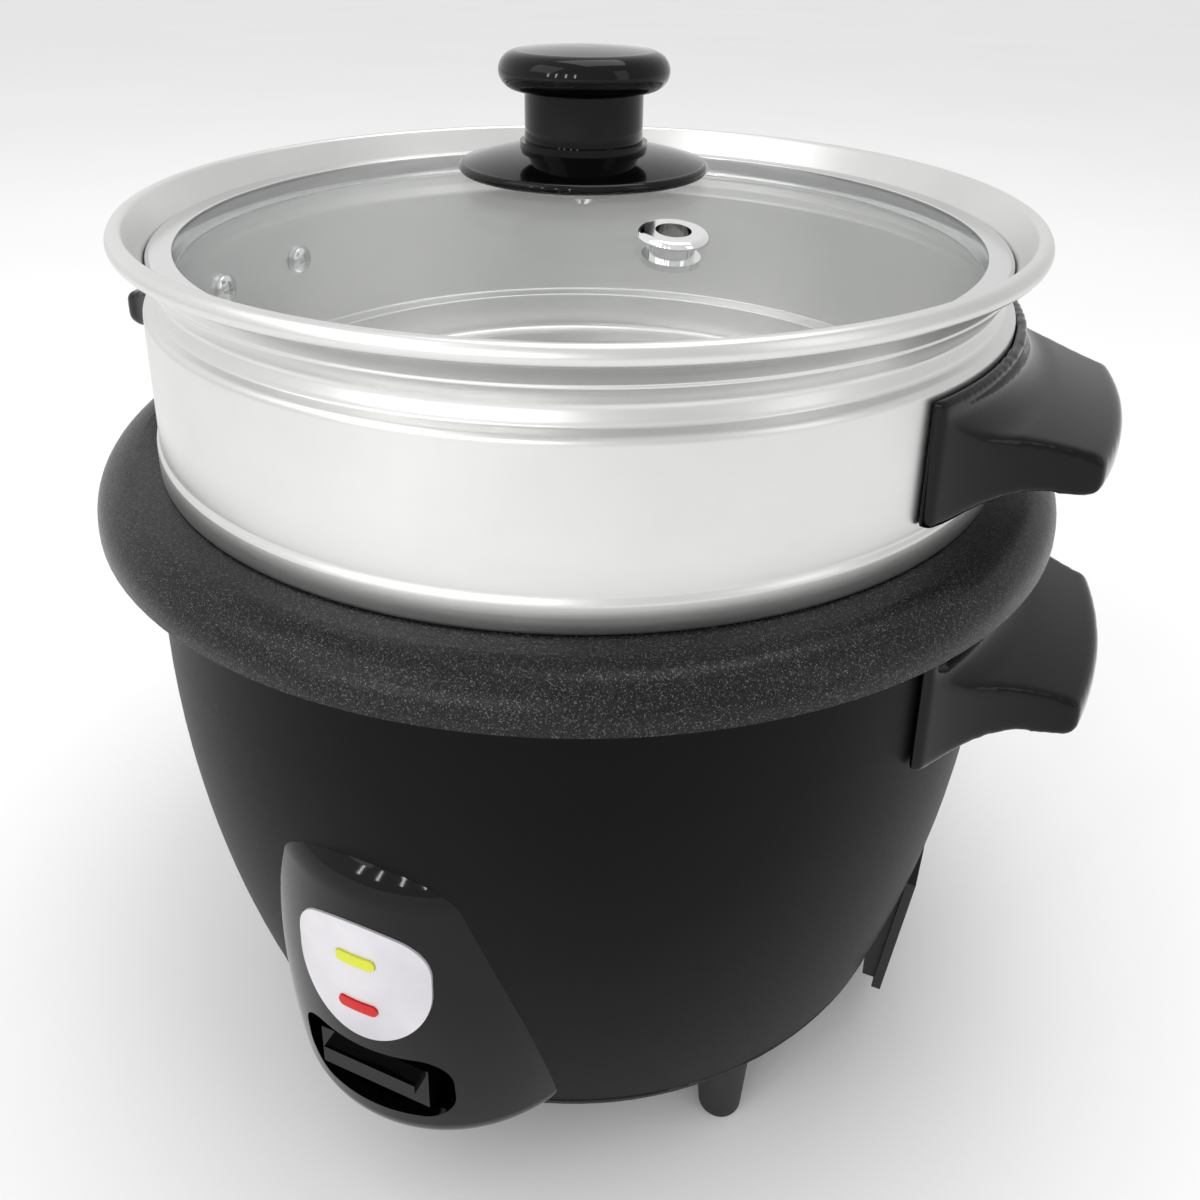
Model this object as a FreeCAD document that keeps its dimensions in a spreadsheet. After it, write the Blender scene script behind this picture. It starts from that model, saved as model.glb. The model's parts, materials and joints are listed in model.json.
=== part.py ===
import FreeCAD, Part
import math
import os
import re
import Sketcher

# Rice cooker with a steamer tray and a glass lid, in millimetres.
# The floor is z = 0, the front is -Y, the handles lie along X and the round pieces turn about Z.

SIZES = {
    # Base and outer body
    "foot_height": 19,
    "foot_radius": 6.5,
    "foot_tip_radius": 5,
    "foot_tip_round": 1.2,
    "foot_inset": 9.6,
    "foot_angle": 50,
    "base_thickness": 2,
    "base_inset": 2.6,
    "base_vent_radius": 2.2,
    "base_vent_circle": 34,
    "body_height": 122,
    "body_radius": 102.7,
    "body_straight": 31,
    "body_foot_radius": 88.6,
    "body_corner": 3,
    "body_flange": 8,
    "body_wall": 0.9,
    "opening_half_width": 12.5,
    "opening_sill": 2.2,
    "opening_height": 61,
    # Liner and heating plate
    "liner_wall": 0.8,
    "liner_inset": 4.1,
    "liner_draw": 0.3,
    "liner_draw_relief": 0.83,
    "liner_corner": 30,
    "liner_floor_gap": 12.2,
    "liner_shelf": 4,
    "spacer_height": 2,
    "spacer_radius": 3.6,
    "post_inset": 4,
    "base_post_inset": 20.6,
    "post_radius": 4,
    "post_offset": 90,
    "plate_screw_turn": 60,
    "screw_radius": 1.5,
    "screw_head_radius": 3,
    "screw_head_height": 1.6,
    "screw_clearance": 0.1,
    "plate_screw_reach": 6,
    "base_screw_reach": 7,
    "plate_thickness": 12,
    "plate_inset": 38.7,
    "plate_round": 3,
    "plate_bore": 16,
    "element_inset": 19,
    "element_radius": 4,
    "element_gap": 0.2,
    "element_sink": 0.6,
    "element_sweep": 320,
    "element_pin_radius": 1.6,
    "element_pin_length": 9,
    # Thermostat in the middle of the heating plate
    "cap_gap": 1,
    "cap_wall": 1,
    "cap_depth": 8.5,
    "ferrite_radius": 10,
    "ferrite_depth": 3.8,
    "guide_bore": 8.4,
    "guide_wall": 1,
    "guide_height": 3.8,
    "guide_skirt": 0.8,
    "guide_plate_gap": 9,
    "guide_plate_thickness": 2,
    "spring_wire": 0.6,
    "spring_radius": 11.6,
    "spring_turns": 3,
    "spring_gap": 0.3,
    "magnet_gap": 0.4,
    "magnet_height": 3,
    "carrier_stem_radius": 2.5,
    "carrier_stem_length": 2.9,
    "carrier_seat": 1.2,
    # Cook lever and what it works
    "lever_pivot_set": 4,
    "lever_pivot_height": 6,
    "lever_width": 12,
    "lever_thickness": 1.6,
    "lever_tail": 3,
    "lever_reach": 27.2,
    "lever_rise": 18,
    "pivot_radius": 1.5,
    "pivot_clearance": 0.05,
    "pivot_boss_radius": 3.2,
    "bracket_ear": 1.5,
    "bracket_gap": 0.5,
    "bracket_half_depth": 5,
    "pin_overhang": 0.6,
    "tab_half_width": 13,
    "tab_height": 10,
    "tab_bottom": 15,
    "tab_depth": 7.8,
    "tab_ridge_half_width": 11,
    "tab_ridge_height": 2.2,
    "tab_ridge_depth": 2.2,
    "tab_ridge_drop": 2.4,
    # Nose-shaped control panel
    "nose_sink": 32.505,
    "nose_bottom": 1,
    "nose_bottom_radius": 31,
    "nose_chin_height": 8,
    "nose_chin_radius": 37.6,
    "nose_chin_round": 9,
    "nose_belly_height": 43,
    "nose_belly_radius": 40,
    "nose_shoulder_height": 67,
    "nose_shoulder_radius": 39.4,
    "nose_top_height": 76.4,
    "nose_top_radius": 34.4,
    "nose_top_round": 12,
    "nose_low_curve": 260,
    "nose_high_curve": 480,
    "nose_wall": 2.5,
    "nose_floor": 1.2,
    "recess_half_width": 18,
    "recess_bottom": 11,
    "recess_height": 18,
    "recess_round": 7,
    "badge_half_width": 15.4,
    "badge_bottom": 32.8,
    "badge_height": 29.4,
    "badge_corner_round": 9,
    "badge_top_round": 28,
    "badge_seat": 0.8,
    "badge_proud": 0.4,
    "badge_clearance": 0.1,
    "lamp_half_length": 4.5,
    "lamp_radius": 1.25,
    "lamp_corner": 0.96,
    "lamp_depth": 2.4,
    "warm_lamp_height": 53.3,
    "cook_lamp_height": 41.4,
    "bulb_radius": 1.2,
    "bulb_half_length": 4,
    "bulb_back": 1.9,
    "holder_half_width": 10,
    "holder_bottom": 37,
    "holder_height": 24,
    "holder_depth": 4.1,
    # Power inlet low on the right side
    "inlet_half_width": 13,
    "inlet_bottom": 13,
    "inlet_height": 33,
    "inlet_proud": 1.231,
    "inlet_foot_proud": 2.8,
    "bezel_thickness": 2.2,
    "bezel_border": 1.6,
    "socket_half_width": 10,
    "socket_height": 9,
    "socket_depth": 16,
    "socket_wall": 1.4,
    "socket_gap": 0.3,
    "inlet_pin_radius": 1.2,
    "inlet_pin_spacing": 8.6,
    "inlet_pin_length": 11,
    # Electrical pieces on the base
    "switch_gap": 3,
    "switch_width": 11,
    "switch_length": 22,
    "switch_height": 9,
    "switch_y": 42,
    "terminal_width": 28,
    "terminal_depth": 12,
    "terminal_height": 9,
    "terminal_inset": 18,
    "fuse_radius": 2.8,
    "fuse_length": 22,
    "fuse_shift": 2.8,
    # Cooking pot
    "pot_gap": 2.1,
    "pot_wall": 1.5,
    "pot_draw": 0.1,
    "pot_corner": 32,
    "rim_gap": 5.2,
    "rim_fillet": 3,
    "rim_flat": 7,
    "rim_round": 8.5,
    "rim_lip": 1.4,
    # Steamer tray
    "tray_wall": 1,
    "tray_seat": 1.6,
    "tray_seat_round": 0.9,
    "tray_band_height": 6,
    "tray_band_step": 0.6,
    "tray_wall_height": 36.3,
    "tray_shoulder_round": 1.6,
    "tray_shoulder": 2.4,
    "tray_shoulder_rise": 2,
    "tray_neck_step": 0.9,
    "tray_neck_rise": 2.6,
    "tray_flare": 6.9,
    "tray_flare_rise": 11.4,
    "tray_bead": 2,
    "tray_bead_outer_turn": 250,
    "tray_bead_inner_turn": 170,
    "skirt_gap": 2,
    "skirt_depth": 11.5,
    "skirt_round": 3,
    "floor_step_width": 5,
    "floor_step_rise": 2,
    "floor_ring_width": 4,
    "steam_hole_radius": 2.6,
    "steam_inner_circle": 26,
    "steam_middle_circle": 46,
    "steam_outer_circle": 66,
    # Handles
    "handle_reach": 23.5,
    "handle_half_width": 28,
    "handle_flare": 45,
    "handle_corner": 10,
    "handle_thickness": 9,
    "handle_drop": 12.3,
    "handle_lift": 3,
    "handle_flange_height": 26,
    "handle_flange_half_width": 45,
    "handle_flange_depth": 2.6,
    "handle_root": 16,
    "handle_hollow": 14,
    "handle_fillet": 7,
    "handle_edge_round": 3,
    "handle_seat_gap": 0.1,
    "tray_handle_height": 8.5,
    "body_handle_drop": 38,
    "handle_screw_spread": 32,
    "handle_screw_height": 14,
    "handle_screw_reach": 6.5,
    "handle_screw_radius": 2,
    "handle_screw_head": 4,
    "handle_screw_dome": 2.2,
    # Lid
    "lid_gap": 0.3,
    "ring_drop": 1,
    "ring_leaf": 0.7,
    "ring_skin": 0.9,
    "ring_seat": 0.2,
    "ring_lip": 2.2,
    "ring_top_clearance": 0.75,
    "ring_round": 0.8,
    "glass_thickness": 3.6,
    "glass_flat": 15,
    "glass_curve": 336,
    "glass_bore": 4,
    "vent_circle": 49.4,
    "vent_angle": 45,
    "vent_bore": 3.6,
    "vent_tube_wall": 1,
    "vent_lip": 2.6,
    "vent_lip_height": 1.4,
    "vent_clearance": 0.15,
    "gasket_thickness": 0.6,
    "gasket_radius": 13,
    "washer_radius": 8,
    "washer_thickness": 1,
    "knob_flange_radius": 28.8,
    "knob_flange_edge": 2.4,
    "knob_flange_curve": 60,
    "knob_flange_crown": 3,
    "knob_collar": 1.1,
    "knob_collar_height": 1.6,
    "knob_stem_radius": 13.6,
    "knob_stem_height": 11,
    "knob_cap_radius": 19.5,
    "knob_cap_round": 4.4,
    "knob_cap_under": 0.4,
    "knob_cap_crown": 0.9,
    "knob_cap_crown_curve": 127,
    "knob_cap_flat": 3,
    "knob_screw_radius": 2,
    "knob_screw_reach": 14,
    "knob_screw_head": 4.2,
    "knob_screw_head_height": 2.4,
}

# Turns and counts of repeated pieces
FULL_TURN = 360
QUARTER_TURN = 90
PLATE_SCREWS = 3
BASE_VENTS = 10
STEAM_INNER_COUNT = 8
STEAM_MIDDLE_COUNT = 14
STEAM_OUTER_COUNT = 20
ABOUT_X = (FreeCAD.Vector(0, 1, 0), QUARTER_TURN)
ABOUT_Y = (FreeCAD.Vector(1, 0, 0), QUARTER_TURN)
UPRIGHT = (FreeCAD.Vector(0, 0, 1), 0)
LAMPS = ("warm", "cook")
COUNTER_CLOCKWISE = 1
CLOCKWISE = -1

doc = FreeCAD.newDocument("RiceCooker")
sheet = doc.addObject("Spreadsheet::Sheet", "Sizes")
for row, (name, number) in enumerate(SIZES.items(), start=1):
    sheet.set(f"A{row}", name)
    sheet.set(f"B{row}", str(number))
    sheet.setAlias(f"B{row}", name)
doc.recompute()

nodes = {}


def linked(text):
    """Write an expression of size names so that other objects can use it."""
    return re.sub(r"[a-z][a-z_]+", lambda word: word.group() if word.group() not in SIZES
                  else "Sizes." + word.group(), text)


def value(text):
    """Number that an expression of size names stands for."""
    return float(sheet.evalExpression(linked(text)))


def bind(item, **expressions):
    """Tie an object's properties to size names; two underscores stand for a dot."""
    for prop, text in expressions.items():
        item.setExpression(prop.replace("__", "."), linked(text))
    return item


def place(item, x="0", y="0", z="0", turn=UPRIGHT):
    """Put an object at a place worked out from size names."""
    item.Placement = FreeCAD.Placement(FreeCAD.Vector(value(x), value(y), value(z)), FreeCAD.Rotation(*turn))
    for letter, text in (("x", x), ("y", y), ("z", z)):
        item.setExpression(f"Placement.Base.{letter}", linked(text))
    return item


def node(label, item):
    """Record a finished piece under its own name."""
    item.Label = label
    nodes[label] = item
    return item


def arc_through(start, end, radius, turn):
    """Short arc from start to end; turn says which way it runs."""
    chord = end - start
    middle = (start + end) * 0.5
    left = FreeCAD.Vector(-chord.y, chord.x, 0).normalize()
    height = math.sqrt(max(radius ** 2 - (chord.Length / 2) ** 2, 0))
    centre = middle + left * (height * turn)
    first, last = (start, end) if turn == COUNTER_CLOCKWISE else (end, start)
    first_angle = math.atan2(first.y - centre.y, first.x - centre.x)
    last_angle = math.atan2(last.y - centre.y, last.x - centre.x)
    circle = Part.Circle(centre, FreeCAD.Vector(0, 0, 1), radius)
    return Part.ArcOfCircle(circle, first_angle, last_angle)


def pin_vertex(sketch, edge, end, letter, text):
    """Hold one coordinate of a sketch vertex at an expression's value."""
    kind = "Distance" + letter.upper()
    if text == "0":
        axis = -2 if letter == "x" else -1
        sketch.addConstraint(Sketcher.Constraint("PointOnObject", edge, end, axis))
        return
    size = text[1:] if text.startswith("-") else text
    ends = (edge, end, -1, 1) if text.startswith("-") else (-1, 1, edge, end)
    index = sketch.addConstraint(Sketcher.Constraint(kind, *ends, value(size)))
    sketch.setExpression(f"Constraints[{index}]", linked(size))


def draw(body, plane, outline):
    """Closed sketch of lines and arcs on one of a body's own planes.

    Each corner is (x, y), or (x, y, radius, turn) where an arc leads to it.
    """
    sketch = body.newObject("Sketcher::SketchObject", body.Name + "_outline")
    support = next(item for item in body.Origin.OriginFeatures if item.Role == plane)
    sketch.AttachmentSupport = [(support, "")]
    sketch.MapMode = "FlatFace"
    spots = [FreeCAD.Vector(value(corner[0]), value(corner[1]), 0) for corner in outline]
    starts, ends = [], []
    for index, spot in enumerate(spots):
        following = (index + 1) % len(spots)
        arc = outline[following][2:]
        if not arc:
            sketch.addGeometry(Part.LineSegment(spot, spots[following]))
            starts.append(1)
            ends.append(2)
            continue
        radius, turn = arc
        sketch.addGeometry(arc_through(spot, spots[following], value(radius), turn))
        starts.append(1 if turn == COUNTER_CLOCKWISE else 2)
        ends.append(2 if turn == COUNTER_CLOCKWISE else 1)
    for index in range(len(spots)):
        following = (index + 1) % len(spots)
        meeting = Sketcher.Constraint("Coincident", index, ends[index], following, starts[following])
        sketch.addConstraint(meeting)
    for index, corner in enumerate(outline):
        pin_vertex(sketch, index, starts[index], "x", corner[0])
        pin_vertex(sketch, index, starts[index], "y", corner[1])
        arc = outline[(index + 1) % len(outline)][2:]
        if arc:
            held = sketch.addConstraint(Sketcher.Constraint("Radius", index, value(arc[0])))
            sketch.setExpression(f"Constraints[{held}]", linked(arc[0]))
    return sketch


def revolve(label, outline):
    """Turned piece: a half section drawn in XZ and turned about Z."""
    body = doc.addObject("PartDesign::Body", label)
    sketch = draw(body, "XZ_Plane", outline)
    turned = body.newObject("PartDesign::Revolution", label + "_turned")
    turned.Profile = sketch
    turned.ReferenceAxis = (sketch, ["V_Axis"])
    turned.Angle = FULL_TURN
    doc.recompute()
    return body


def pad(label, plane, outline, length, middle=False):
    """Flat outline drawn on a plane and given a depth."""
    body = doc.addObject("PartDesign::Body", label)
    sketch = draw(body, plane, outline)
    block = body.newObject("PartDesign::Pad", label + "_block")
    block.Profile = sketch
    block.Midplane = middle
    bind(block, Length=length)
    doc.recompute()
    return body


def box(label, x, y, z):
    """Block between two planes on each axis."""
    block = doc.addObject("Part::Box", label)
    sides = [f"({high}) - ({low})" for low, high in (x, y, z)]
    bind(block, Length=sides[0], Width=sides[1], Height=sides[2])
    return place(block, x[0], y[0], z[0])


def rod(label, radius, length, x="0", y="0", z="0", turn=UPRIGHT):
    """Cylinder that starts at a place and runs along Z, or along X or -Y when turned."""
    bar = doc.addObject("Part::Cylinder", label)
    bind(bar, Radius=radius, Height=length)
    return place(bar, x, y, z, turn)


def group(label, pieces):
    """Separate solids under one name."""
    bundle = doc.addObject("Part::Compound", label)
    bundle.Links = pieces
    return bundle


def cut(label, base, tools):
    """What is left of a piece once the tools are taken away."""
    result = doc.addObject("Part::Cut", label)
    result.Base = base
    result.Tool = tools[0] if len(tools) == 1 else group(label + "_tools", tools)
    doc.recompute()
    return result


def common(label, first, second):
    """What two pieces share."""
    result = doc.addObject("Part::Common", label)
    result.Base = first
    result.Tool = second
    doc.recompute()
    return result


def fuse(label, pieces):
    """One piece from several that meet."""
    result = doc.addObject("Part::MultiFuse", label)
    result.Shapes = pieces
    doc.recompute()
    return result


def around(count, start="0"):
    """Angles of evenly spaced copies, as expressions."""
    return [f"({start}) + {FULL_TURN * index / count}" for index in range(count)]


def polar(circle, angle):
    """X and Y of a place on a circle, with the angle counted from +X."""
    return f"({circle}) * cos(({angle}) * 1 deg)", f"({circle}) * sin(({angle}) * 1 deg)"


# Heights and radii that several pieces share
BODY_FLOOR = "(foot_height + base_thickness)"
BODY_TOP = f"({BODY_FLOOR} + body_height)"
BODY_BEND = f"({BODY_TOP} - body_straight)"
BODY_KNEE = f"({BODY_FLOOR} + body_corner)"
BODY_DROP = "(body_height - body_straight - body_corner)"
BODY_DRAW = "(body_radius - body_foot_radius)"
BODY_CURVE = f"(({BODY_DROP}^2 + {BODY_DRAW}^2) / (2 * {BODY_DRAW}))"
LINER_BASE = f"({BODY_FLOOR} + liner_floor_gap)"
LINER_FLOOR = f"({LINER_BASE} + liner_wall)"
LINER_MOUTH = "(body_radius - liner_inset)"
LINER_TAPER = f"({BODY_DRAW} * liner_draw - liner_draw_relief)"
LINER_WAIST = f"({LINER_MOUTH} - {LINER_TAPER})"
LINER_FLAT = f"({LINER_WAIST} - liner_corner)"
PLATE_R = "(body_radius - plate_inset)"
POST_R = f"({PLATE_R} - post_inset)"
LINER_OPENING = f"({POST_R} - liner_shelf)"
ELEMENT_R = f"({PLATE_R} - element_inset)"
GUIDE_R = f"({ELEMENT_R} - element_radius - guide_plate_gap)"
BASE_POST_R = "(body_foot_radius - base_post_inset)"
TERMINAL_Y = f"({BASE_POST_R} - terminal_inset)"
FOOT_R = "(body_foot_radius - foot_inset)"
PLATE_BASE = f"({LINER_FLOOR} + spacer_height)"
PLATE_TOP = f"({PLATE_BASE} + plate_thickness)"
POT_OUT = f"({LINER_MOUTH} - pot_gap)"
POT_IN = f"({POT_OUT} - pot_wall)"
POT_TAPER = f"({LINER_TAPER} + pot_draw)"
RIM_TOP = f"({BODY_TOP} + liner_wall + rim_gap + pot_wall)"
RIM_START = f"({POT_IN} + rim_fillet)"
RIM_BEND = f"({RIM_START} + rim_flat)"
RIM_EDGE = f"({RIM_BEND} + rim_round)"
TRAY_BAND = f"({RIM_START} + tray_seat)"
TRAY_OUT = f"({TRAY_BAND} - tray_band_step)"
TRAY_BAND_TOP = f"({RIM_TOP} + tray_band_height)"
SHOULDER_Z = f"({RIM_TOP} + tray_wall_height)"
STEP_R = f"({TRAY_OUT} - tray_shoulder)"
STEP_Z = f"({SHOULDER_Z} + tray_shoulder_rise)"
NECK_R = f"({STEP_R} - tray_neck_step)"
NECK_Z = f"({STEP_Z} + tray_neck_rise)"
BEAD_R = f"({NECK_R} + tray_flare)"
BEAD_Z = f"({NECK_Z} + tray_flare_rise)"
MOUTH_R = f"({BEAD_R} + tray_bead * cos(tray_bead_inner_turn * 1 deg))"
MOUTH_Z = f"({BEAD_Z} + tray_bead * sin(tray_bead_inner_turn * 1 deg))"
FLARE_SLOPE = f"(({MOUTH_R} - {NECK_R} + tray_wall) / ({MOUTH_Z} - {NECK_Z}))"
RING_Z = f"({NECK_Z} + ring_drop)"
RING_R = f"({NECK_R} - tray_wall + ring_drop * {FLARE_SLOPE} - lid_gap * sqrt(1 + {FLARE_SLOPE}^2))"
GLASS_R = f"({RING_R} - ring_skin)"
GLASS_LOW = f"({RING_Z} + ring_leaf + ring_seat)"
GLASS_EDGE = f"({GLASS_LOW} + glass_thickness)"
GLASS_RISE = f"(sqrt(glass_curve^2 - glass_flat^2) - sqrt(glass_curve^2 - {GLASS_R}^2))"
GLASS_TOP = f"({GLASS_EDGE} + {GLASS_RISE})"
GLASS_UNDER = f"({GLASS_TOP} - glass_thickness)"
RING_CEILING = f"({GLASS_EDGE} + ring_top_clearance)"
RING_TOP = f"({RING_CEILING} + ring_leaf)"
KNOB_SEAT = f"({GLASS_TOP} + gasket_thickness)"
NOSE_DROP = f"(({BODY_BEND} - {BODY_FLOOR} - nose_belly_height) / {BODY_DROP})"
NOSE_Y = f"(body_radius - {BODY_DRAW} * {NOSE_DROP}^2 - nose_sink)"
LEVER_PIVOT = f"({NOSE_Y} - lever_pivot_set)"
LEVER_FRONT = f"({NOSE_Y} + lever_reach)"
PIVOT_Z = f"({BODY_FLOOR} + lever_pivot_height)"
LEVER_LOW = f"({PIVOT_Z} - lever_thickness / 2)"
LEVER_HIGH = f"({PIVOT_Z} + lever_thickness / 2)"
VENT_LEAN = "asin(vent_circle / glass_curve)"
INLET_TOP = "(inlet_bottom + inlet_height)"
SOCKET_LOW = f"({BODY_FLOOR} + socket_wall + socket_gap)"
INLET_DROP = f"(({BODY_BEND} - {INLET_TOP}) / {BODY_DROP})"
INLET_REACH = f"(body_radius - {BODY_DRAW} * {INLET_DROP}^2 + inlet_proud)"
INLET_FOOT = "(body_foot_radius + inlet_foot_proud)"
INLET_LEAN = f"({INLET_REACH} - {INLET_FOOT})"
SOCKET_BACK = f"({INLET_FOOT} - bezel_thickness - socket_depth)"
TRAY_HANDLE_Z = f"({RIM_TOP} + tray_handle_height)"
BODY_HANDLE_Z = f"({BODY_TOP} - body_handle_drop)"
TRAY_SCREW_Z = f"({TRAY_HANDLE_Z} + handle_screw_height)"
BODY_SCREW_Z = f"({BODY_HANDLE_Z} + handle_screw_height)"


def outer_body():
    """Painted steel shell, drawn in towards the base and turned under at its foot."""
    shell = revolve("body_shell", [
        ("body_foot_radius - body_corner - body_flange", BODY_FLOOR),
        ("body_foot_radius - body_corner", BODY_FLOOR),
        ("body_foot_radius", BODY_KNEE, "body_corner", COUNTER_CLOCKWISE),
        ("body_radius", BODY_BEND, BODY_CURVE, COUNTER_CLOCKWISE),
        ("body_radius", BODY_TOP),
        ("body_radius - body_wall", BODY_TOP),
        ("body_radius - body_wall", BODY_BEND),
        ("body_foot_radius - body_wall", BODY_KNEE, f"{BODY_CURVE} - body_wall", CLOCKWISE),
        ("body_foot_radius - body_corner", f"{BODY_FLOOR} + body_wall", "body_corner - body_wall", CLOCKWISE),
        ("body_foot_radius - body_corner - body_flange", f"{BODY_FLOOR} + body_wall"),
    ])
    lever_opening = box("lever_opening", ("-opening_half_width", "opening_half_width"),
                        ("-body_radius - body_wall", f"-{LEVER_PIVOT}"),
                        (f"{BODY_FLOOR} + opening_sill", f"{BODY_FLOOR} + opening_sill + opening_height"))
    inlet_side = "(socket_half_width + socket_wall + socket_gap)"
    inlet_high = f"{SOCKET_LOW} + socket_height + socket_wall + socket_gap"
    inlet_opening = box("inlet_opening", (SOCKET_BACK, "body_radius"), (f"-{inlet_side}", inlet_side),
                        (f"{SOCKET_LOW} - socket_wall", inlet_high))
    bores = handle_bores("body", BODY_SCREW_Z, "handle_screw_radius + screw_clearance")
    node("outer_body", cut("outer_body", shell, [lever_opening, inlet_opening] + bores))


def body_envelope(label):
    """Solid that fills the outer body, for trimming what lies against it."""
    return revolve(label, [
        ("0", BODY_FLOOR),
        ("body_foot_radius - body_corner", BODY_FLOOR),
        ("body_foot_radius", BODY_KNEE, "body_corner", COUNTER_CLOCKWISE),
        ("body_radius", BODY_BEND, BODY_CURVE, COUNTER_CLOCKWISE),
        ("body_radius", BODY_TOP),
        ("0", BODY_TOP),
    ])


def base():
    """Flat base plate under the body, its feet and the screws and posts that hold the liner."""
    plate = revolve("base_blank", [
        ("0", "foot_height"),
        ("body_foot_radius - base_inset", "foot_height"),
        ("body_foot_radius - base_inset", BODY_FLOOR),
        ("0", BODY_FLOOR),
    ])
    holes = []
    for index, angle in enumerate(around(BASE_VENTS)):
        x, y = polar("base_vent_circle", angle)
        holes.append(rod(f"base_vent_{index}", "base_vent_radius", "base_thickness * 3", x, y,
                         "foot_height - base_thickness"))
    posts, screws = [], []
    for index, angle in enumerate(around(PLATE_SCREWS, "post_offset")):
        x, y = polar(BASE_POST_R, angle)
        holes.append(rod(f"base_screw_hole_{index}", "screw_radius + screw_clearance", "base_thickness * 3",
                         x, y, "foot_height - base_thickness"))
        post = rod(f"post_{index}", "post_radius", f"{LINER_BASE} - {BODY_FLOOR}", x, y, BODY_FLOOR)
        bore = rod(f"post_bore_{index}", "screw_radius", "base_screw_reach", x, y, BODY_FLOOR)
        posts.append(cut(f"post_bored_{index}", post, [bore]))
        head = rod(f"base_head_{index}", "screw_head_radius", "screw_head_height", x, y,
                   "foot_height - screw_head_height")
        shank = rod(f"base_shank_{index}", "screw_radius", "base_screw_reach + base_thickness",
                    x, y, "foot_height")
        screws.append(fuse(f"base_screw_{index}", [head, shank]))
    node("base_plate", cut("base_plate", plate, holes))
    node("base_posts", group("base_posts", posts))
    node("base_screws", group("base_screws", screws))
    feet = []
    for index, angle in enumerate(("foot_angle", "180 - foot_angle", "180 + foot_angle", "-foot_angle")):
        foot = revolve(f"foot_{index}", [
            ("0", "0"),
            ("foot_tip_radius - foot_tip_round", "0"),
            ("foot_tip_radius", "foot_tip_round", "foot_tip_round", COUNTER_CLOCKWISE),
            ("foot_radius", "foot_height"),
            ("0", "foot_height"),
        ])
        x, y = polar(FOOT_R, f"{QUARTER_TURN} + ({angle})")
        feet.append(place(foot, x, y))
    node("feet", group("feet", feet))


def liner():
    """Thin inner shell that hangs on the body's top edge and carries the heating plate."""
    shell = revolve("liner_shell", [
        (f"{LINER_MOUTH} + liner_wall", BODY_TOP),
        ("body_radius", BODY_TOP),
        ("body_radius", f"{BODY_TOP} + liner_wall"),
        (LINER_MOUTH, f"{BODY_TOP} + liner_wall"),
        (LINER_WAIST, f"{LINER_FLOOR} + liner_corner"),
        (LINER_FLAT, LINER_FLOOR, "liner_corner", CLOCKWISE),
        (LINER_OPENING, LINER_FLOOR),
        (LINER_OPENING, LINER_BASE),
        (LINER_FLAT, LINER_BASE),
        (f"{LINER_WAIST} + liner_wall", f"{LINER_FLOOR} + liner_corner", "liner_corner + liner_wall",
         COUNTER_CLOCKWISE),
    ])
    holes = []
    for index, angle in enumerate(around(PLATE_SCREWS, "post_offset - plate_screw_turn")):
        x, y = polar(POST_R, angle)
        holes.append(rod(f"liner_hole_{index}", "screw_radius + screw_clearance", "liner_wall * 3", x, y,
                         f"{LINER_BASE} - liner_wall"))
    node("inner_liner", cut("inner_liner", shell, holes))


def heating():
    """Cast heating plate with its tubular element, spacers and screws."""
    groove_in = f"{ELEMENT_R} - element_radius - element_gap"
    groove_out = f"{ELEMENT_R} + element_radius + element_gap"
    groove_top = f"{PLATE_BASE} + element_radius + element_sink + element_gap"
    plate = revolve("plate_blank", [
        ("plate_bore", PLATE_BASE),
        (groove_in, PLATE_BASE),
        (groove_in, groove_top),
        (groove_out, groove_top),
        (groove_out, PLATE_BASE),
        (PLATE_R, PLATE_BASE),
        (PLATE_R, f"{PLATE_TOP} - plate_round"),
        (f"{PLATE_R} - plate_round", PLATE_TOP, "plate_round", COUNTER_CLOCKWISE),
        ("plate_bore", PLATE_TOP),
    ])
    holes, spacers, screws = [], [], []
    for index, angle in enumerate(around(PLATE_SCREWS, "post_offset - plate_screw_turn")):
        x, y = polar(POST_R, angle)
        holes.append(rod(f"plate_hole_{index}", "screw_radius", "plate_screw_reach", x, y, PLATE_BASE))
        ring = rod(f"spacer_ring_{index}", "spacer_radius", "spacer_height", x, y, LINER_FLOOR)
        bore = rod(f"spacer_bore_{index}", "screw_radius + screw_clearance", "spacer_height",
                   x, y, LINER_FLOOR)
        spacers.append(cut(f"spacer_{index}", ring, [bore]))
        head = rod(f"plate_head_{index}", "screw_head_radius", "screw_head_height", x, y,
                   f"{LINER_BASE} - screw_head_height")
        shank = rod(f"plate_shank_{index}", "screw_radius",
                    f"{PLATE_BASE} - {LINER_BASE} + plate_screw_reach", x, y, LINER_BASE)
        screws.append(fuse(f"plate_screw_{index}", [head, shank]))
    node("heating_plate", cut("heating_plate", plate, holes))
    node("plate_spacers", group("plate_spacers", spacers))
    node("plate_screws", group("plate_screws", screws))
    tube = doc.addObject("Part::Torus", "element_tube")
    bind(tube, Radius1=ELEMENT_R, Radius2="element_radius", Angle3="element_sweep")
    gap_half = f"({FULL_TURN} - element_sweep) / 2"
    start = (FreeCAD.Vector(0, 0, 1), QUARTER_TURN + value(gap_half))
    place(tube, z=f"{PLATE_BASE} + element_sink", turn=start)
    tube.setExpression("Placement.Rotation.Angle", linked(f"{QUARTER_TURN} + {gap_half}"))
    pins = []
    for index, side in enumerate(("-", "+")):
        x, y = polar(ELEMENT_R, f"{QUARTER_TURN} {side} ({gap_half} + element_pin_radius * 3)")
        pins.append(rod(f"element_pin_{index}", "element_pin_radius", "element_pin_length", x, y,
                        f"{PLATE_BASE} + element_sink - element_pin_length"))
    node("heating_element", fuse("heating_element", [tube] + pins))


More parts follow.
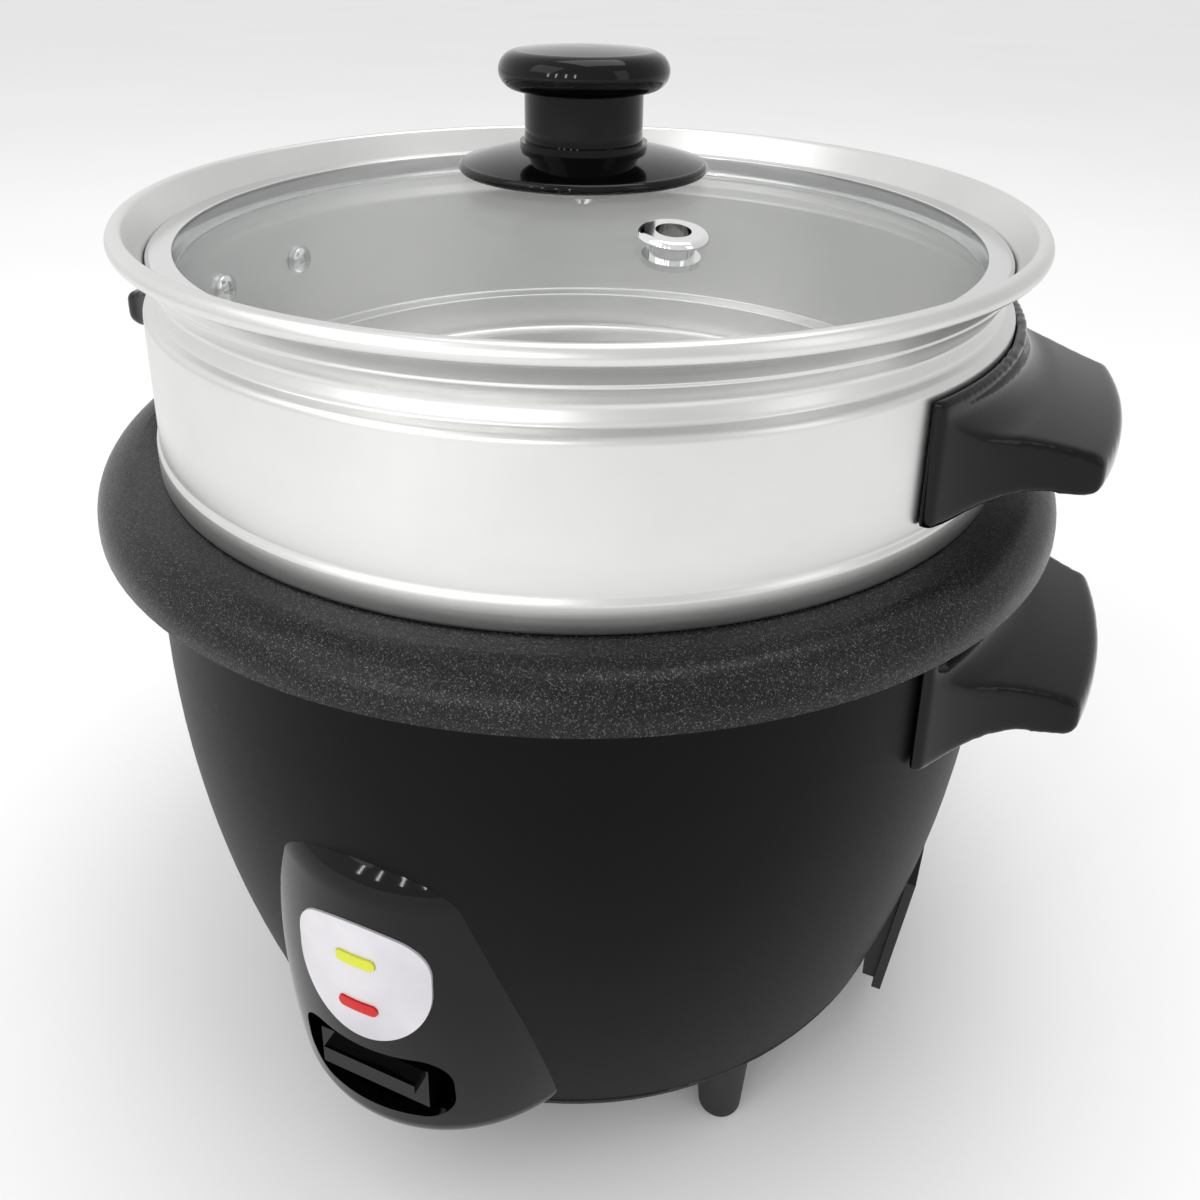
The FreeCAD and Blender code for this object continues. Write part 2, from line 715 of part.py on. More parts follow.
def thermostat():
    """Sprung sensor cap, its guide, and the magnet that the cook lever lifts."""
    cap_out = "(plate_bore - cap_gap)"
    cap_in = f"({cap_out} - cap_wall)"
    cap_low = f"({PLATE_TOP} - cap_depth)"
    ferrite_low = f"({PLATE_TOP} - cap_wall - ferrite_depth)"
    node("sensor_cap", revolve("sensor_cap", [
        ("0", ferrite_low),
        ("ferrite_radius", ferrite_low),
        ("ferrite_radius", f"{PLATE_TOP} - cap_wall"),
        (cap_in, f"{PLATE_TOP} - cap_wall"),
        (cap_in, cap_low),
        (cap_out, cap_low),
        (cap_out, f"{PLATE_TOP} - cap_wall"),
        (f"{cap_out} - cap_wall", PLATE_TOP, "cap_wall", COUNTER_CLOCKWISE),
        ("0", PLATE_TOP),
    ]))
    guide_low = f"({PLATE_BASE} - guide_plate_thickness)"
    node("sensor_guide", revolve("sensor_guide", [
        ("guide_bore", f"{guide_low} - guide_skirt"),
        ("guide_bore + guide_wall", f"{guide_low} - guide_skirt"),
        ("guide_bore + guide_wall", guide_low),
        (GUIDE_R, guide_low),
        (GUIDE_R, PLATE_BASE),
        ("guide_bore + guide_wall", PLATE_BASE),
        ("guide_bore + guide_wall", f"{PLATE_BASE} + guide_height"),
        ("guide_bore", f"{PLATE_BASE} + guide_height"),
    ]))
    low = value(f"{PLATE_BASE} + spring_wire + spring_gap")
    high = value(f"{PLATE_TOP} - cap_wall - spring_wire - spring_gap")
    radius = value("spring_radius")
    path = Part.makeHelix((high - low) / value("spring_turns"), high - low, radius)
    across = Part.Circle(FreeCAD.Vector(radius, 0, 0), FreeCAD.Vector(0, 1, 0), value("spring_wire"))
    coil = Part.Wire(path).makePipeShell([Part.Wire(across.toShape())], True, True)
    spring = doc.addObject("Part::Feature", "sensor_spring")
    spring.Shape = Part.Solid(coil) if coil.ShapeType == "Shell" else coil
    spring.Placement.Base.z = low
    node("sensor_spring", spring)
    stem_low = f"({LEVER_HIGH} + magnet_gap)"
    stem_top = f"({stem_low} + carrier_stem_length)"
    magnet_radius = "guide_bore - magnet_gap"
    node("magnet_carrier", revolve("magnet_carrier", [
        ("0", stem_low),
        ("carrier_stem_radius", stem_low),
        ("carrier_stem_radius", stem_top),
        (magnet_radius, stem_top),
        (magnet_radius, f"{stem_top} + carrier_seat"),
        ("0", f"{stem_top} + carrier_seat"),
    ]))
    node("lift_magnet", rod("lift_magnet", magnet_radius, "magnet_height", z=f"{stem_top} + carrier_seat"))


def cook_lever():
    """Steel lever on a pin in a bracket, with the plastic tab that shows in the panel."""
    half = "lever_width / 2"
    width = (f"-{half}", half)
    pivot = f"-{LEVER_PIVOT}"
    strip = box("lever_strip", width, (f"-{LEVER_FRONT}", "lever_tail"), (LEVER_LOW, LEVER_HIGH))
    upright = box("lever_upright", width, (f"-{LEVER_FRONT} - lever_thickness", f"-{LEVER_FRONT}"),
                  (LEVER_LOW, f"{LEVER_LOW} + lever_rise"))
    boss = rod("lever_boss", "pivot_boss_radius", "lever_width", f"-{half}", pivot, PIVOT_Z, ABOUT_X)
    bore = rod("lever_bore", "pivot_radius + pivot_clearance", "lever_width * 2", "-lever_width", pivot,
               PIVOT_Z, ABOUT_X)
    solid = fuse("lever_solid", [strip, upright, boss])
    node("lever_arm", cut("lever_arm", solid, [bore]))
    ear_in = f"({half} + bracket_gap)"
    ear_out = f"({ear_in} + bracket_ear)"
    ear_top = f"{PIVOT_Z} + pivot_boss_radius"
    depth = (f"{pivot} - bracket_half_depth", f"{pivot} + bracket_half_depth")
    ears = [box("bracket_ear_right", (ear_in, ear_out), depth, (BODY_FLOOR, ear_top)),
            box("bracket_ear_left", (f"-{ear_out}", f"-{ear_in}"), depth, (BODY_FLOOR, ear_top)),
            box("bracket_foot", (f"-{ear_out}", ear_out), depth, (BODY_FLOOR, f"{BODY_FLOOR} + bracket_ear"))]
    pin_out = f"({ear_out} + pin_overhang)"
    pin_length = f"{pin_out} * 2"
    ear_bore = rod("bracket_bore", "pivot_radius", pin_length, f"-{pin_out}", pivot, PIVOT_Z, ABOUT_X)
    node("lever_bracket", cut("lever_bracket", fuse("bracket_solid", ears), [ear_bore]))
    node("pivot_pin", rod("pivot_pin", "pivot_radius", pin_length, f"-{pin_out}", pivot, PIVOT_Z, ABOUT_X))
    tab_back = f"({LEVER_FRONT} + lever_thickness)"
    tab_low = f"({BODY_FLOOR} + tab_bottom)"
    tab_high = f"({tab_low} + tab_height)"
    paddle = box("tab_paddle", ("-tab_half_width", "tab_half_width"),
                 (f"-{tab_back} - tab_depth", f"-{tab_back}"), (tab_low, tab_high))
    ridge = box("tab_ridge", ("-tab_ridge_half_width", "tab_ridge_half_width"),
                (f"-{tab_back} - tab_depth - tab_ridge_depth", f"-{tab_back} - tab_depth"),
                (f"{tab_high} - tab_ridge_drop - tab_ridge_height", f"{tab_high} - tab_ridge_drop"))
    node("lever_tab", fuse("lever_tab", [paddle, ridge]))


def nose(label, offset, floor="0"):
    """Barrel-shaped solid about an upright axis behind the panel, grown by an offset."""
    low = f"{BODY_FLOOR} + nose_bottom + {floor}"
    chin = f"{BODY_FLOOR} + nose_chin_height"
    belly = f"{BODY_FLOOR} + nose_belly_height"
    shoulder = f"{BODY_FLOOR} + nose_shoulder_height"
    top = f"{BODY_FLOOR} + nose_top_height"
    bullet = revolve(label, [
        ("0", low),
        (f"nose_bottom_radius + ({offset})", low),
        (f"nose_chin_radius + ({offset})", chin, "nose_chin_round", COUNTER_CLOCKWISE),
        (f"nose_belly_radius + ({offset})", belly, "nose_low_curve", COUNTER_CLOCKWISE),
        (f"nose_shoulder_radius + ({offset})", shoulder, "nose_high_curve", COUNTER_CLOCKWISE),
        (f"nose_top_radius + ({offset})", top, "nose_top_round", COUNTER_CLOCKWISE),
        ("0", top),
    ])
    return place(bullet, y=f"-{NOSE_Y}")


def badge_pad(label, grow):
    """Prism through the front of the panel: a half circle with a flatter arch and round corners above."""
    side = f"(badge_half_width + {grow})"
    corner_round = f"(badge_corner_round + {grow})"
    top_round = f"(badge_top_round + {grow})"
    low = f"({BODY_FLOOR} + badge_bottom - {grow})"
    middle = f"({BODY_FLOOR} + badge_bottom + badge_half_width)"
    across = "(badge_half_width - badge_corner_round)"
    apart = "(badge_top_round - badge_corner_round)"
    rise = f"sqrt({apart}^2 - {across}^2)"
    arch = f"({BODY_FLOOR} + badge_bottom + badge_height - badge_top_round)"
    corner = f"({arch} + {rise})"
    meet = f"({top_round} * {across} / {apart})"
    meet_height = f"({arch} + {top_round} * {rise} / {apart})"
    prism = pad(label, "XZ_Plane", [
        ("0", low, side, COUNTER_CLOCKWISE),
        (side, middle, side, COUNTER_CLOCKWISE),
        (side, corner),
        (meet, meet_height, corner_round, COUNTER_CLOCKWISE),
        (f"-{meet}", meet_height, top_round, COUNTER_CLOCKWISE),
        (f"-{side}", corner, corner_round, COUNTER_CLOCKWISE),
        (f"-{side}", middle),
    ], "body_radius")
    return place(prism, y=f"-{NOSE_Y}")


def slot_pad(label, half_length, height, radius, centre):
    """Bar with rounded corners through the front of the panel."""
    ends = f"{half_length} - ({radius})"
    low = f"{centre} - {height} / 2"
    high = f"{centre} + {height} / 2"
    bar = pad(label, "XZ_Plane", [
        (f"-({ends})", low, radius, COUNTER_CLOCKWISE),
        (ends, low),
        (half_length, f"{low} + {radius}", radius, COUNTER_CLOCKWISE),
        (half_length, f"{high} - ({radius})"),
        (ends, high, radius, COUNTER_CLOCKWISE),
        (f"-({ends})", high),
        (f"-({half_length})", f"{high} - ({radius})", radius, COUNTER_CLOCKWISE),
        (f"-({half_length})", f"{low} + {radius}"),
    ], "body_radius")
    return place(bar, y=f"-{NOSE_Y}")


def lamp_pad(label, height, grow):
    """Pill-shaped bar for a lamp window."""
    tall = f"(lamp_radius * 2 + {grow} * 2)"
    return slot_pad(label, f"(lamp_half_length + {grow})", tall, f"(lamp_radius * lamp_corner + {grow})",
                    f"({BODY_FLOOR} + {height})")


def control_panel():
    """Hollow nose on the front with the badge, the lamp windows and the recess for the lever."""
    shell = cut("panel_shell", nose("nose_outside", "0"), [nose("nose_inside", "-nose_wall", "nose_floor")])
    trimmed = cut("panel_trimmed", shell, [body_envelope("panel_trim")])
    recess = slot_pad("lever_recess", "recess_half_width", "recess_height", "recess_round",
                      f"({BODY_FLOOR} + recess_bottom + recess_height / 2)")
    opened = cut("panel_opened", trimmed, [recess])
    seat = cut("badge_seat_cut", badge_pad("badge_seat_pad", "badge_clearance"),
               [nose("seat_nose", "-badge_seat")])
    seated = cut("panel_seated", opened, [seat])
    windows = [lamp_pad(f"{name}_window", f"{name}_lamp_height", "badge_clearance") for name in LAMPS]
    node("control_panel", cut("control_panel", seated, windows))
    face = common("badge_face", badge_pad("badge_pad", "0"), nose("badge_nose", "badge_proud"))
    plate = cut("badge_plate", face, [nose("badge_back", "-badge_seat")])
    node("panel_badge", cut("panel_badge", plate, windows))
    for name in LAMPS:
        bar = lamp_pad(f"{name}_bar", f"{name}_lamp_height", "0")
        front = common(f"{name}_front", bar, nose(f"{name}_nose", "badge_proud * 2"))
        node(f"{name}_lamp_lens", cut(f"{name}_lamp_lens", front, [nose(f"{name}_back", "-lamp_depth")]))


def lamps():
    """Lamp holder behind the panel and the two bulbs lying in its grooves."""
    block = box("holder_block", ("-holder_half_width", "holder_half_width"),
                ("-body_radius * 2", f"-({NOSE_Y} + nose_belly_radius - nose_wall - holder_depth)"),
                (f"{BODY_FLOOR} + holder_bottom", f"{BODY_FLOOR} + holder_bottom + holder_height"))
    shaped = common("holder_shaped", block, nose("holder_nose", "-nose_wall - badge_clearance"))
    bulb_y = f"-({NOSE_Y} + nose_belly_radius - nose_wall - bulb_back)"
    grooves, bulbs = [], []
    for name in LAMPS:
        bulb_z = f"{BODY_FLOOR} + {name}_lamp_height"
        grooves.append(rod(f"{name}_groove", "bulb_radius + badge_clearance",
                           "(bulb_half_length + badge_clearance) * 2",
                           "-bulb_half_length - badge_clearance", bulb_y, bulb_z, ABOUT_X))
        bulbs.append(rod(f"{name}_bulb", "bulb_radius", "bulb_half_length * 2", "-bulb_half_length",
                         bulb_y, bulb_z, ABOUT_X))
    node("lamp_holder", cut("lamp_holder", shaped, grooves))
    node("indicator_bulbs", group("indicator_bulbs", bulbs))


def inlet():
    """Power inlet: a housing on the side, its slanted bezel, and pins in an open socket."""
    inner = "(body_foot_radius - base_inset + socket_gap)"
    back_low = f"({INLET_FOOT} - bezel_thickness)"
    back_top = f"({INLET_REACH} - bezel_thickness)"
    block = pad("inlet_block", "XZ_Plane", [
        (inner, "inlet_bottom"),
        (back_low, "inlet_bottom"),
        (back_top, INLET_TOP),
        (inner, INLET_TOP),
    ], "inlet_half_width * 2", middle=True)
    outside = cut("inlet_outside", block, [body_envelope("inlet_trim")])
    wall_low = f"({SOCKET_LOW} - socket_wall)"
    wall_top = f"({SOCKET_LOW} + socket_height + socket_wall)"
    lean = f"({INLET_LEAN} / inlet_height)"
    sleeve = pad("inlet_sleeve", "XZ_Plane", [
        (SOCKET_BACK, wall_low),
        (f"{back_low} + {lean} * ({wall_low} - inlet_bottom)", wall_low),
        (f"{back_low} + {lean} * ({wall_top} - inlet_bottom)", wall_top),
        (SOCKET_BACK, wall_top),
    ], "(socket_half_width + socket_wall) * 2", middle=True)
    cavity = box("socket_cavity", (f"{SOCKET_BACK} + socket_wall", f"{INLET_REACH} * 2"),
                 ("-socket_half_width", "socket_half_width"), (SOCKET_LOW, f"{SOCKET_LOW} + socket_height"))
    pin_z = f"{SOCKET_LOW} + socket_height / 2"
    pin_start = f"{SOCKET_BACK} - socket_wall * 2"
    pins, bores = [], []
    for index, side in enumerate(("-", "")):
        spot = f"{side}inlet_pin_spacing / 2"
        pins.append(rod(f"inlet_pin_{index}", "inlet_pin_radius", "inlet_pin_length + socket_wall * 2",
                        pin_start, spot, pin_z, ABOUT_X))
        bores.append(rod(f"inlet_pin_bore_{index}", "inlet_pin_radius", "socket_wall * 4",
                         pin_start, spot, pin_z, ABOUT_X))
    housing = cut("inlet_hollow", fuse("inlet_solid", [outside, sleeve]), [cavity])
    node("inlet_housing", cut("inlet_housing", housing, bores))
    node("inlet_pins", group("inlet_pins", pins))
    plate = pad("bezel_plate", "XZ_Plane", [
        (f"{back_low} - {lean} * bezel_border", "inlet_bottom - bezel_border"),
        (f"{INLET_FOOT} - {lean} * bezel_border", "inlet_bottom - bezel_border"),
        (f"{INLET_REACH} + {lean} * bezel_border", f"{INLET_TOP} + bezel_border"),
        (f"{back_top} + {lean} * bezel_border", f"{INLET_TOP} + bezel_border"),
    ], "(inlet_half_width + bezel_border) * 2", middle=True)
    trimmed = cut("bezel_trimmed", plate, [body_envelope("bezel_trim")])
    node("inlet_bezel", cut("inlet_bezel", trimmed, [cavity]))


def electrics():
    """Contact block beside the lever, terminal block at the back and the thermal fuse under the liner."""
    near = "(lever_width / 2 + switch_gap)"
    node("contact_block", box("contact_block", (near, f"{near} + switch_width"),
                              ("-switch_y", "-switch_y + switch_length"),
                              (BODY_FLOOR, f"{BODY_FLOOR} + switch_height")))
    node("terminal_block", box("terminal_block", ("-terminal_width / 2", "terminal_width / 2"),
                               (f"{TERMINAL_Y} - terminal_depth / 2", f"{TERMINAL_Y} + terminal_depth / 2"),
                               (BODY_FLOOR, f"{BODY_FLOOR} + terminal_height")))
    node("thermal_fuse", rod("thermal_fuse", "fuse_radius", "fuse_length", f"-({LINER_FLAT} + fuse_shift)",
                             "fuse_length / 2", f"{LINER_BASE} - fuse_radius - screw_clearance", ABOUT_Y))


def inner_pot():
    """Drawn cooking pot with a wide rolled rim."""
    bend = f"({PLATE_TOP} + pot_corner)"
    flat = f"{POT_OUT} - {POT_TAPER} - pot_corner"
    node("inner_pot", revolve("inner_pot", [
        ("0", PLATE_TOP),
        (flat, PLATE_TOP),
        (f"{POT_OUT} - {POT_TAPER}", bend, "pot_corner", COUNTER_CLOCKWISE),
        (POT_OUT, f"{RIM_TOP} - rim_fillet"),
        (RIM_START, f"{RIM_TOP} - pot_wall", "rim_fillet - pot_wall", CLOCKWISE),
        (RIM_BEND, f"{RIM_TOP} - pot_wall"),
        (f"{RIM_EDGE} - pot_wall", f"{RIM_TOP} - rim_round", "rim_round - pot_wall", CLOCKWISE),
        (f"{RIM_EDGE} - pot_wall", f"{RIM_TOP} - rim_round - rim_lip"),
        (RIM_EDGE, f"{RIM_TOP} - rim_round - rim_lip"),
        (RIM_EDGE, f"{RIM_TOP} - rim_round"),
        (RIM_BEND, RIM_TOP, "rim_round", COUNTER_CLOCKWISE),
        (RIM_START, RIM_TOP),
        (POT_IN, f"{RIM_TOP} - rim_fillet", "rim_fillet", COUNTER_CLOCKWISE),
        (f"{POT_IN} - {POT_TAPER}", bend),
        (flat, f"{PLATE_TOP} + pot_wall", "pot_corner - pot_wall", CLOCKWISE),
        ("0", f"{PLATE_TOP} + pot_wall"),
    ]))


def steamer_tray():
    """Aluminium tray: a skirt and holed floor in the pot, a tall wall, a stepped neck and a beaded mouth."""
    skirt = f"({POT_IN} - skirt_gap)"
    low = f"({RIM_TOP} - skirt_depth)"
    ring_out = f"({skirt} - skirt_round)"
    ring_in = f"({ring_out} - floor_ring_width)"
    deck = f"({low} + floor_step_rise)"
    deck_edge = f"({ring_in} - floor_step_width)"
    bead_outer = ("tray_bead * cos(tray_bead_outer_turn * 1 deg)",
                  "tray_bead * sin(tray_bead_outer_turn * 1 deg)")
    shell = revolve("tray_shell", [
        ("0", deck),
        (deck_edge, deck),
        (ring_in, low),
        (ring_out, low),
        (skirt, f"{low} + skirt_round", "skirt_round", COUNTER_CLOCKWISE),
        (skirt, RIM_TOP),
        (f"{TRAY_BAND} - tray_seat_round", RIM_TOP),
        (TRAY_BAND, f"{RIM_TOP} + tray_seat_round", "tray_seat_round", COUNTER_CLOCKWISE),
        (TRAY_BAND, TRAY_BAND_TOP),
        (TRAY_OUT, f"{TRAY_BAND_TOP} + tray_band_step * 2"),
        (TRAY_OUT, f"{SHOULDER_Z} - tray_shoulder_round"),
        (f"{TRAY_OUT} - tray_shoulder_round", SHOULDER_Z, "tray_shoulder_round", COUNTER_CLOCKWISE),
        (STEP_R, STEP_Z),
        (NECK_R, NECK_Z),
        (f"{BEAD_R} + {bead_outer[0]}", f"{BEAD_Z} + {bead_outer[1]}"),
        (f"{BEAD_R} + tray_bead", BEAD_Z, "tray_bead", COUNTER_CLOCKWISE),
        (MOUTH_R, MOUTH_Z, "tray_bead", COUNTER_CLOCKWISE),
        (f"{NECK_R} - tray_wall", NECK_Z),
        (f"{STEP_R} - tray_wall", f"{STEP_Z} - tray_wall / 2"),
        (f"{TRAY_OUT} - tray_wall", f"{SHOULDER_Z} - tray_shoulder_round"),
        (f"{TRAY_OUT} - tray_wall", f"{RIM_TOP} + tray_wall"),
        (f"{skirt} - tray_wall", f"{RIM_TOP} + tray_wall"),
        (f"{skirt} - tray_wall", f"{low} + skirt_round"),
        (ring_out, f"{low} + tray_wall", "skirt_round - tray_wall", CLOCKWISE),
        (ring_in, f"{low} + tray_wall"),
        (deck_edge, f"{deck} + tray_wall"),
        ("0", f"{deck} + tray_wall"),
    ])
    holes = handle_bores("tray", TRAY_SCREW_Z, "handle_screw_radius + screw_clearance")
    rings = (("steam_inner_circle", STEAM_INNER_COUNT), ("steam_middle_circle", STEAM_MIDDLE_COUNT),
             ("steam_outer_circle", STEAM_OUTER_COUNT))
    for circle, count in rings:
        for index, angle in enumerate(around(count)):
            x, y = polar(circle, angle)
            holes.append(rod(f"{circle}_hole_{index}", "steam_hole_radius", "tray_wall * 3", x, y,
                             f"{deck} - tray_wall"))
    node("steamer_tray", cut("steamer_tray", shell, holes))


def handle_bores(label, height, radius):
    """Screw holes that run right across, through both handle seats."""
    return [rod(f"{label}_bore_{index}", radius, "body_radius * 4", "-body_radius * 2",
                f"{side}handle_screw_spread / 2", height, ABOUT_X) for index, side in enumerate(("-", ""))]


def handle(label, wall, low, screw_z):
    """Pair of moulded handles: a curved flange on the wall that runs out into a flat, tapered grip."""
    top = f"({low} + handle_flange_height)"
    grip_top = f"({top} - handle_drop)"
    grip_low = f"({grip_top} - handle_thickness)"
    root = f"({wall} - handle_root)"
    foot = f"({wall} + handle_flange_depth)"
    tip = f"({wall} + handle_reach)"
    edge = f"sqrt({foot}^2 - handle_flange_half_width^2)"
    end = f"({tip} + handle_edge_round)"
    side = revolve(f"{label}_side", [
        (root, low),
        (foot, low),
        (f"{foot} + handle_hollow", grip_low, "handle_hollow", CLOCKWISE),
        (f"{tip} - handle_edge_round", grip_low),
        (tip, f"{grip_low} + handle_edge_round", "handle_edge_round", COUNTER_CLOCKWISE),
        (tip, f"{grip_top} - handle_edge_round"),
        (f"{tip} - handle_edge_round", grip_top, "handle_edge_round", COUNTER_CLOCKWISE),
        (f"{foot} + handle_fillet", f"{grip_top} + handle_lift"),
        (foot, f"{grip_top} + handle_lift + handle_fillet", "handle_fillet", CLOCKWISE),
        (foot, top),
        (root, top),
    ])
    plan = pad(f"{label}_plan", "XY_Plane", [
        (f"{root} / 2", "-handle_flange_half_width"),
        (edge, "-handle_flange_half_width"),
        (f"{end} - handle_corner", "-handle_half_width", "handle_flare", CLOCKWISE),
        (end, "-(handle_half_width - handle_corner)", "handle_corner", COUNTER_CLOCKWISE),
        (end, "handle_half_width - handle_corner"),
        (f"{end} - handle_corner", "handle_half_width", "handle_corner", COUNTER_CLOCKWISE),
        (edge, "handle_flange_half_width", "handle_flare", CLOCKWISE),
        (f"{root} / 2", "handle_flange_half_width"),
    ], f"{top} * 2")
    whole = common(f"{label}_whole", side, plan)
    seat = rod(f"{label}_seat", f"{wall} + handle_seat_gap", "handle_flange_height * 3",
               z=f"{low} - handle_flange_height")
    seated = cut(f"{label}_seated", whole, [seat])
    bores = [rod(f"{label}_bore_{index}", "handle_screw_radius", f"{wall} + handle_screw_reach", "0",
                 f"{side}handle_screw_spread / 2", screw_z, ABOUT_X) for index, side in enumerate(("-", ""))]
    right = node(f"{label}_handle_right", cut(f"{label}_handle_right", seated, bores))
    left = doc.addObject("Part::Mirroring", f"{label}_handle_left")
    left.Source = right
    left.Normal = FreeCAD.Vector(1, 0, 0)
    node(f"{label}_handle_left", left)


def handle_screws(label, wall, thickness, height):
    """Screws with low conical heads, driven from inside the wall into both handles."""
    side = "(handle_screw_spread / 2 + handle_screw_head)"
    seat = f"(sqrt(({wall} - {thickness})^2 - {side}^2) - screw_clearance)"
    length = f"({wall} + handle_screw_reach - {seat})"
    screws = []
    for index, side in enumerate(("-", "")):
        y = f"{side}handle_screw_spread / 2"
        head = doc.addObject("Part::Cone", f"{label}_head_{index}")
        bind(head, Radius1="handle_screw_head / 2", Radius2="handle_screw_head", Height="handle_screw_dome")
        place(head, f"{seat} - handle_screw_dome", y, height, ABOUT_X)
        shank = rod(f"{label}_shank_{index}", "handle_screw_radius", length, seat, y, height, ABOUT_X)
        right = fuse(f"{label}_screw_{index}", [head, shank])
        left = doc.addObject("Part::Mirroring", f"{label}_screw_left_{index}")
        left.Source = right
        left.Normal = FreeCAD.Vector(1, 0, 0)
        screws += [right, left]
    node(f"{label}_handle_screws", group(f"{label}_handle_screws", screws))


def lean_with_glass(item, x, y, z):
    """Stand a piece on the glass along the dome's own normal."""
    place(item, x, y, z, (FreeCAD.Vector(1, 1, 0), value(VENT_LEAN)))
    bind(item, Placement__Rotation__Axis__x="sin((90 - vent_angle) * 1 deg)",
         Placement__Rotation__Axis__y="cos((90 - vent_angle) * 1 deg)", Placement__Rotation__Angle=VENT_LEAN)
    return item


def lid():
    """Glass dome in a steel ring, with a vent grommet."""
    shoulder = f"({RING_R} + {FLARE_SLOPE} * ({RING_TOP} - ring_round - {RING_Z}))"
    lip = f"({GLASS_R} - ring_lip)"
    slot = f"({GLASS_R} + ring_seat / 2)"
    node("lid_ring", revolve("lid_ring", [
        (lip, RING_Z),
        (RING_R, RING_Z),
        (shoulder, f"{RING_TOP} - ring_round"),
        (f"{shoulder} - ring_round", RING_TOP, "ring_round", COUNTER_CLOCKWISE),
        (lip, RING_TOP),
        (lip, RING_CEILING),
        (slot, RING_CEILING),
        (slot, f"{RING_Z} + ring_leaf"),
        (lip, f"{RING_Z} + ring_leaf"),
    ]))
    dome = revolve("glass_dome", [
        ("glass_bore", GLASS_UNDER),
        ("glass_flat", GLASS_UNDER),
        (GLASS_R, GLASS_LOW, "glass_curve - glass_thickness", CLOCKWISE),
        (GLASS_R, GLASS_EDGE),
        ("glass_flat", GLASS_TOP, "glass_curve", COUNTER_CLOCKWISE),
        ("glass_bore", GLASS_TOP),
    ])
    x, y = polar("vent_circle", "vent_angle - 90")
    z = f"({GLASS_TOP} - sqrt(glass_curve^2 - glass_flat^2) + sqrt(glass_curve^2 - vent_circle^2))"
    drill = rod("vent_drill", "vent_bore + vent_tube_wall + vent_clearance", "glass_thickness * 4")
    lean_with_glass(drill, f"{x} * (1 - glass_thickness * 2 / glass_curve)",
                    f"{y} * (1 - glass_thickness * 2 / glass_curve)", f"{z} - glass_thickness * 2")
    node("lid_glass", cut("lid_glass", dome, [drill]))
    under = "glass_thickness + vent_clearance"
    tube = "vent_bore + vent_tube_wall"
    drop = f"{under} + vent_lip_height"
    grommet = doc.addObject("PartDesign::Body", "vent_grommet")
    sketch = draw(grommet, "XZ_Plane", [
        ("vent_bore", f"-({drop})"),
        (f"{tube} + vent_lip / 2", f"-({drop})"),
        (f"{tube} + vent_lip / 2", f"-({under})"),
        (tube, f"-({under})"),
        (tube, "0"),
        (f"{tube} + vent_lip", "0"),
        (f"{tube} + vent_lip - vent_lip_height", "vent_lip_height", "vent_lip_height", COUNTER_CLOCKWISE),
        ("vent_bore", "vent_lip_height"),
    ])
    turned = grommet.newObject("PartDesign::Revolution", "vent_turned")
    turned.Profile = sketch
    turned.ReferenceAxis = (sketch, ["V_Axis"])
    turned.Angle = FULL_TURN
    node("vent_grommet", lean_with_glass(grommet, x, y, z))


def knob():
    """Turned knob on a soft gasket, held by a screw and washer from under the glass."""
    flange_top = f"({KNOB_SEAT} + knob_flange_edge)"
    half_edge = "(knob_flange_edge / 2)"
    collar_low = f"({flange_top} + knob_flange_crown)"
    collar_top = f"({collar_low} + knob_collar_height)"
    stem_top = f"({collar_top} + knob_stem_height)"
    cap_low = f"({stem_top} + knob_cap_under)"
    cap_in = "(knob_cap_radius - knob_cap_round)"
    cap_high = f"({cap_low} + knob_cap_round * 2)"
    bore_top = f"({KNOB_SEAT} + knob_screw_reach)"
    node("lid_knob", revolve("lid_knob", [
        ("knob_screw_radius", KNOB_SEAT),
        (f"knob_flange_radius - {half_edge}", KNOB_SEAT),
        ("knob_flange_radius", f"{KNOB_SEAT} + {half_edge}", half_edge, COUNTER_CLOCKWISE),
        (f"knob_flange_radius - {half_edge}", flange_top, half_edge, COUNTER_CLOCKWISE),
        ("knob_stem_radius + knob_collar", collar_low, "knob_flange_curve", COUNTER_CLOCKWISE),
        ("knob_stem_radius + knob_collar", collar_top),
        ("knob_stem_radius", collar_top),
        ("knob_stem_radius", stem_top),
        (cap_in, cap_low),
        ("knob_cap_radius", f"{cap_low} + knob_cap_round", "knob_cap_round", COUNTER_CLOCKWISE),
        (cap_in, cap_high, "knob_cap_round", COUNTER_CLOCKWISE),
        ("knob_cap_flat", f"{cap_high} + knob_cap_crown", "knob_cap_crown_curve", COUNTER_CLOCKWISE),
        ("0", f"{cap_high} + knob_cap_crown"),
        ("0", bore_top),
        ("knob_screw_radius", bore_top),
    ]))
    node("knob_gasket", revolve("knob_gasket", [
        ("glass_bore", GLASS_TOP),
        ("gasket_radius", GLASS_TOP),
        ("gasket_radius", KNOB_SEAT),
        ("glass_bore", KNOB_SEAT),
    ]))
    washer_low = f"({GLASS_UNDER} - washer_thickness)"
    node("knob_washer", revolve("knob_washer", [
        ("knob_screw_radius + screw_clearance", washer_low),
        ("washer_radius", washer_low),
        ("washer_radius", GLASS_UNDER),
        ("knob_screw_radius + screw_clearance", GLASS_UNDER),
    ]))
    head_low = f"({washer_low} - knob_screw_head_height)"
    node("knob_screw", revolve("knob_screw", [
        ("0", head_low),
        ("knob_screw_head / 2", head_low),
        ("knob_screw_head", washer_low),
        ("knob_screw_radius", washer_low),
        ("knob_screw_radius", bore_top),
        ("0", bore_top),
    ]))


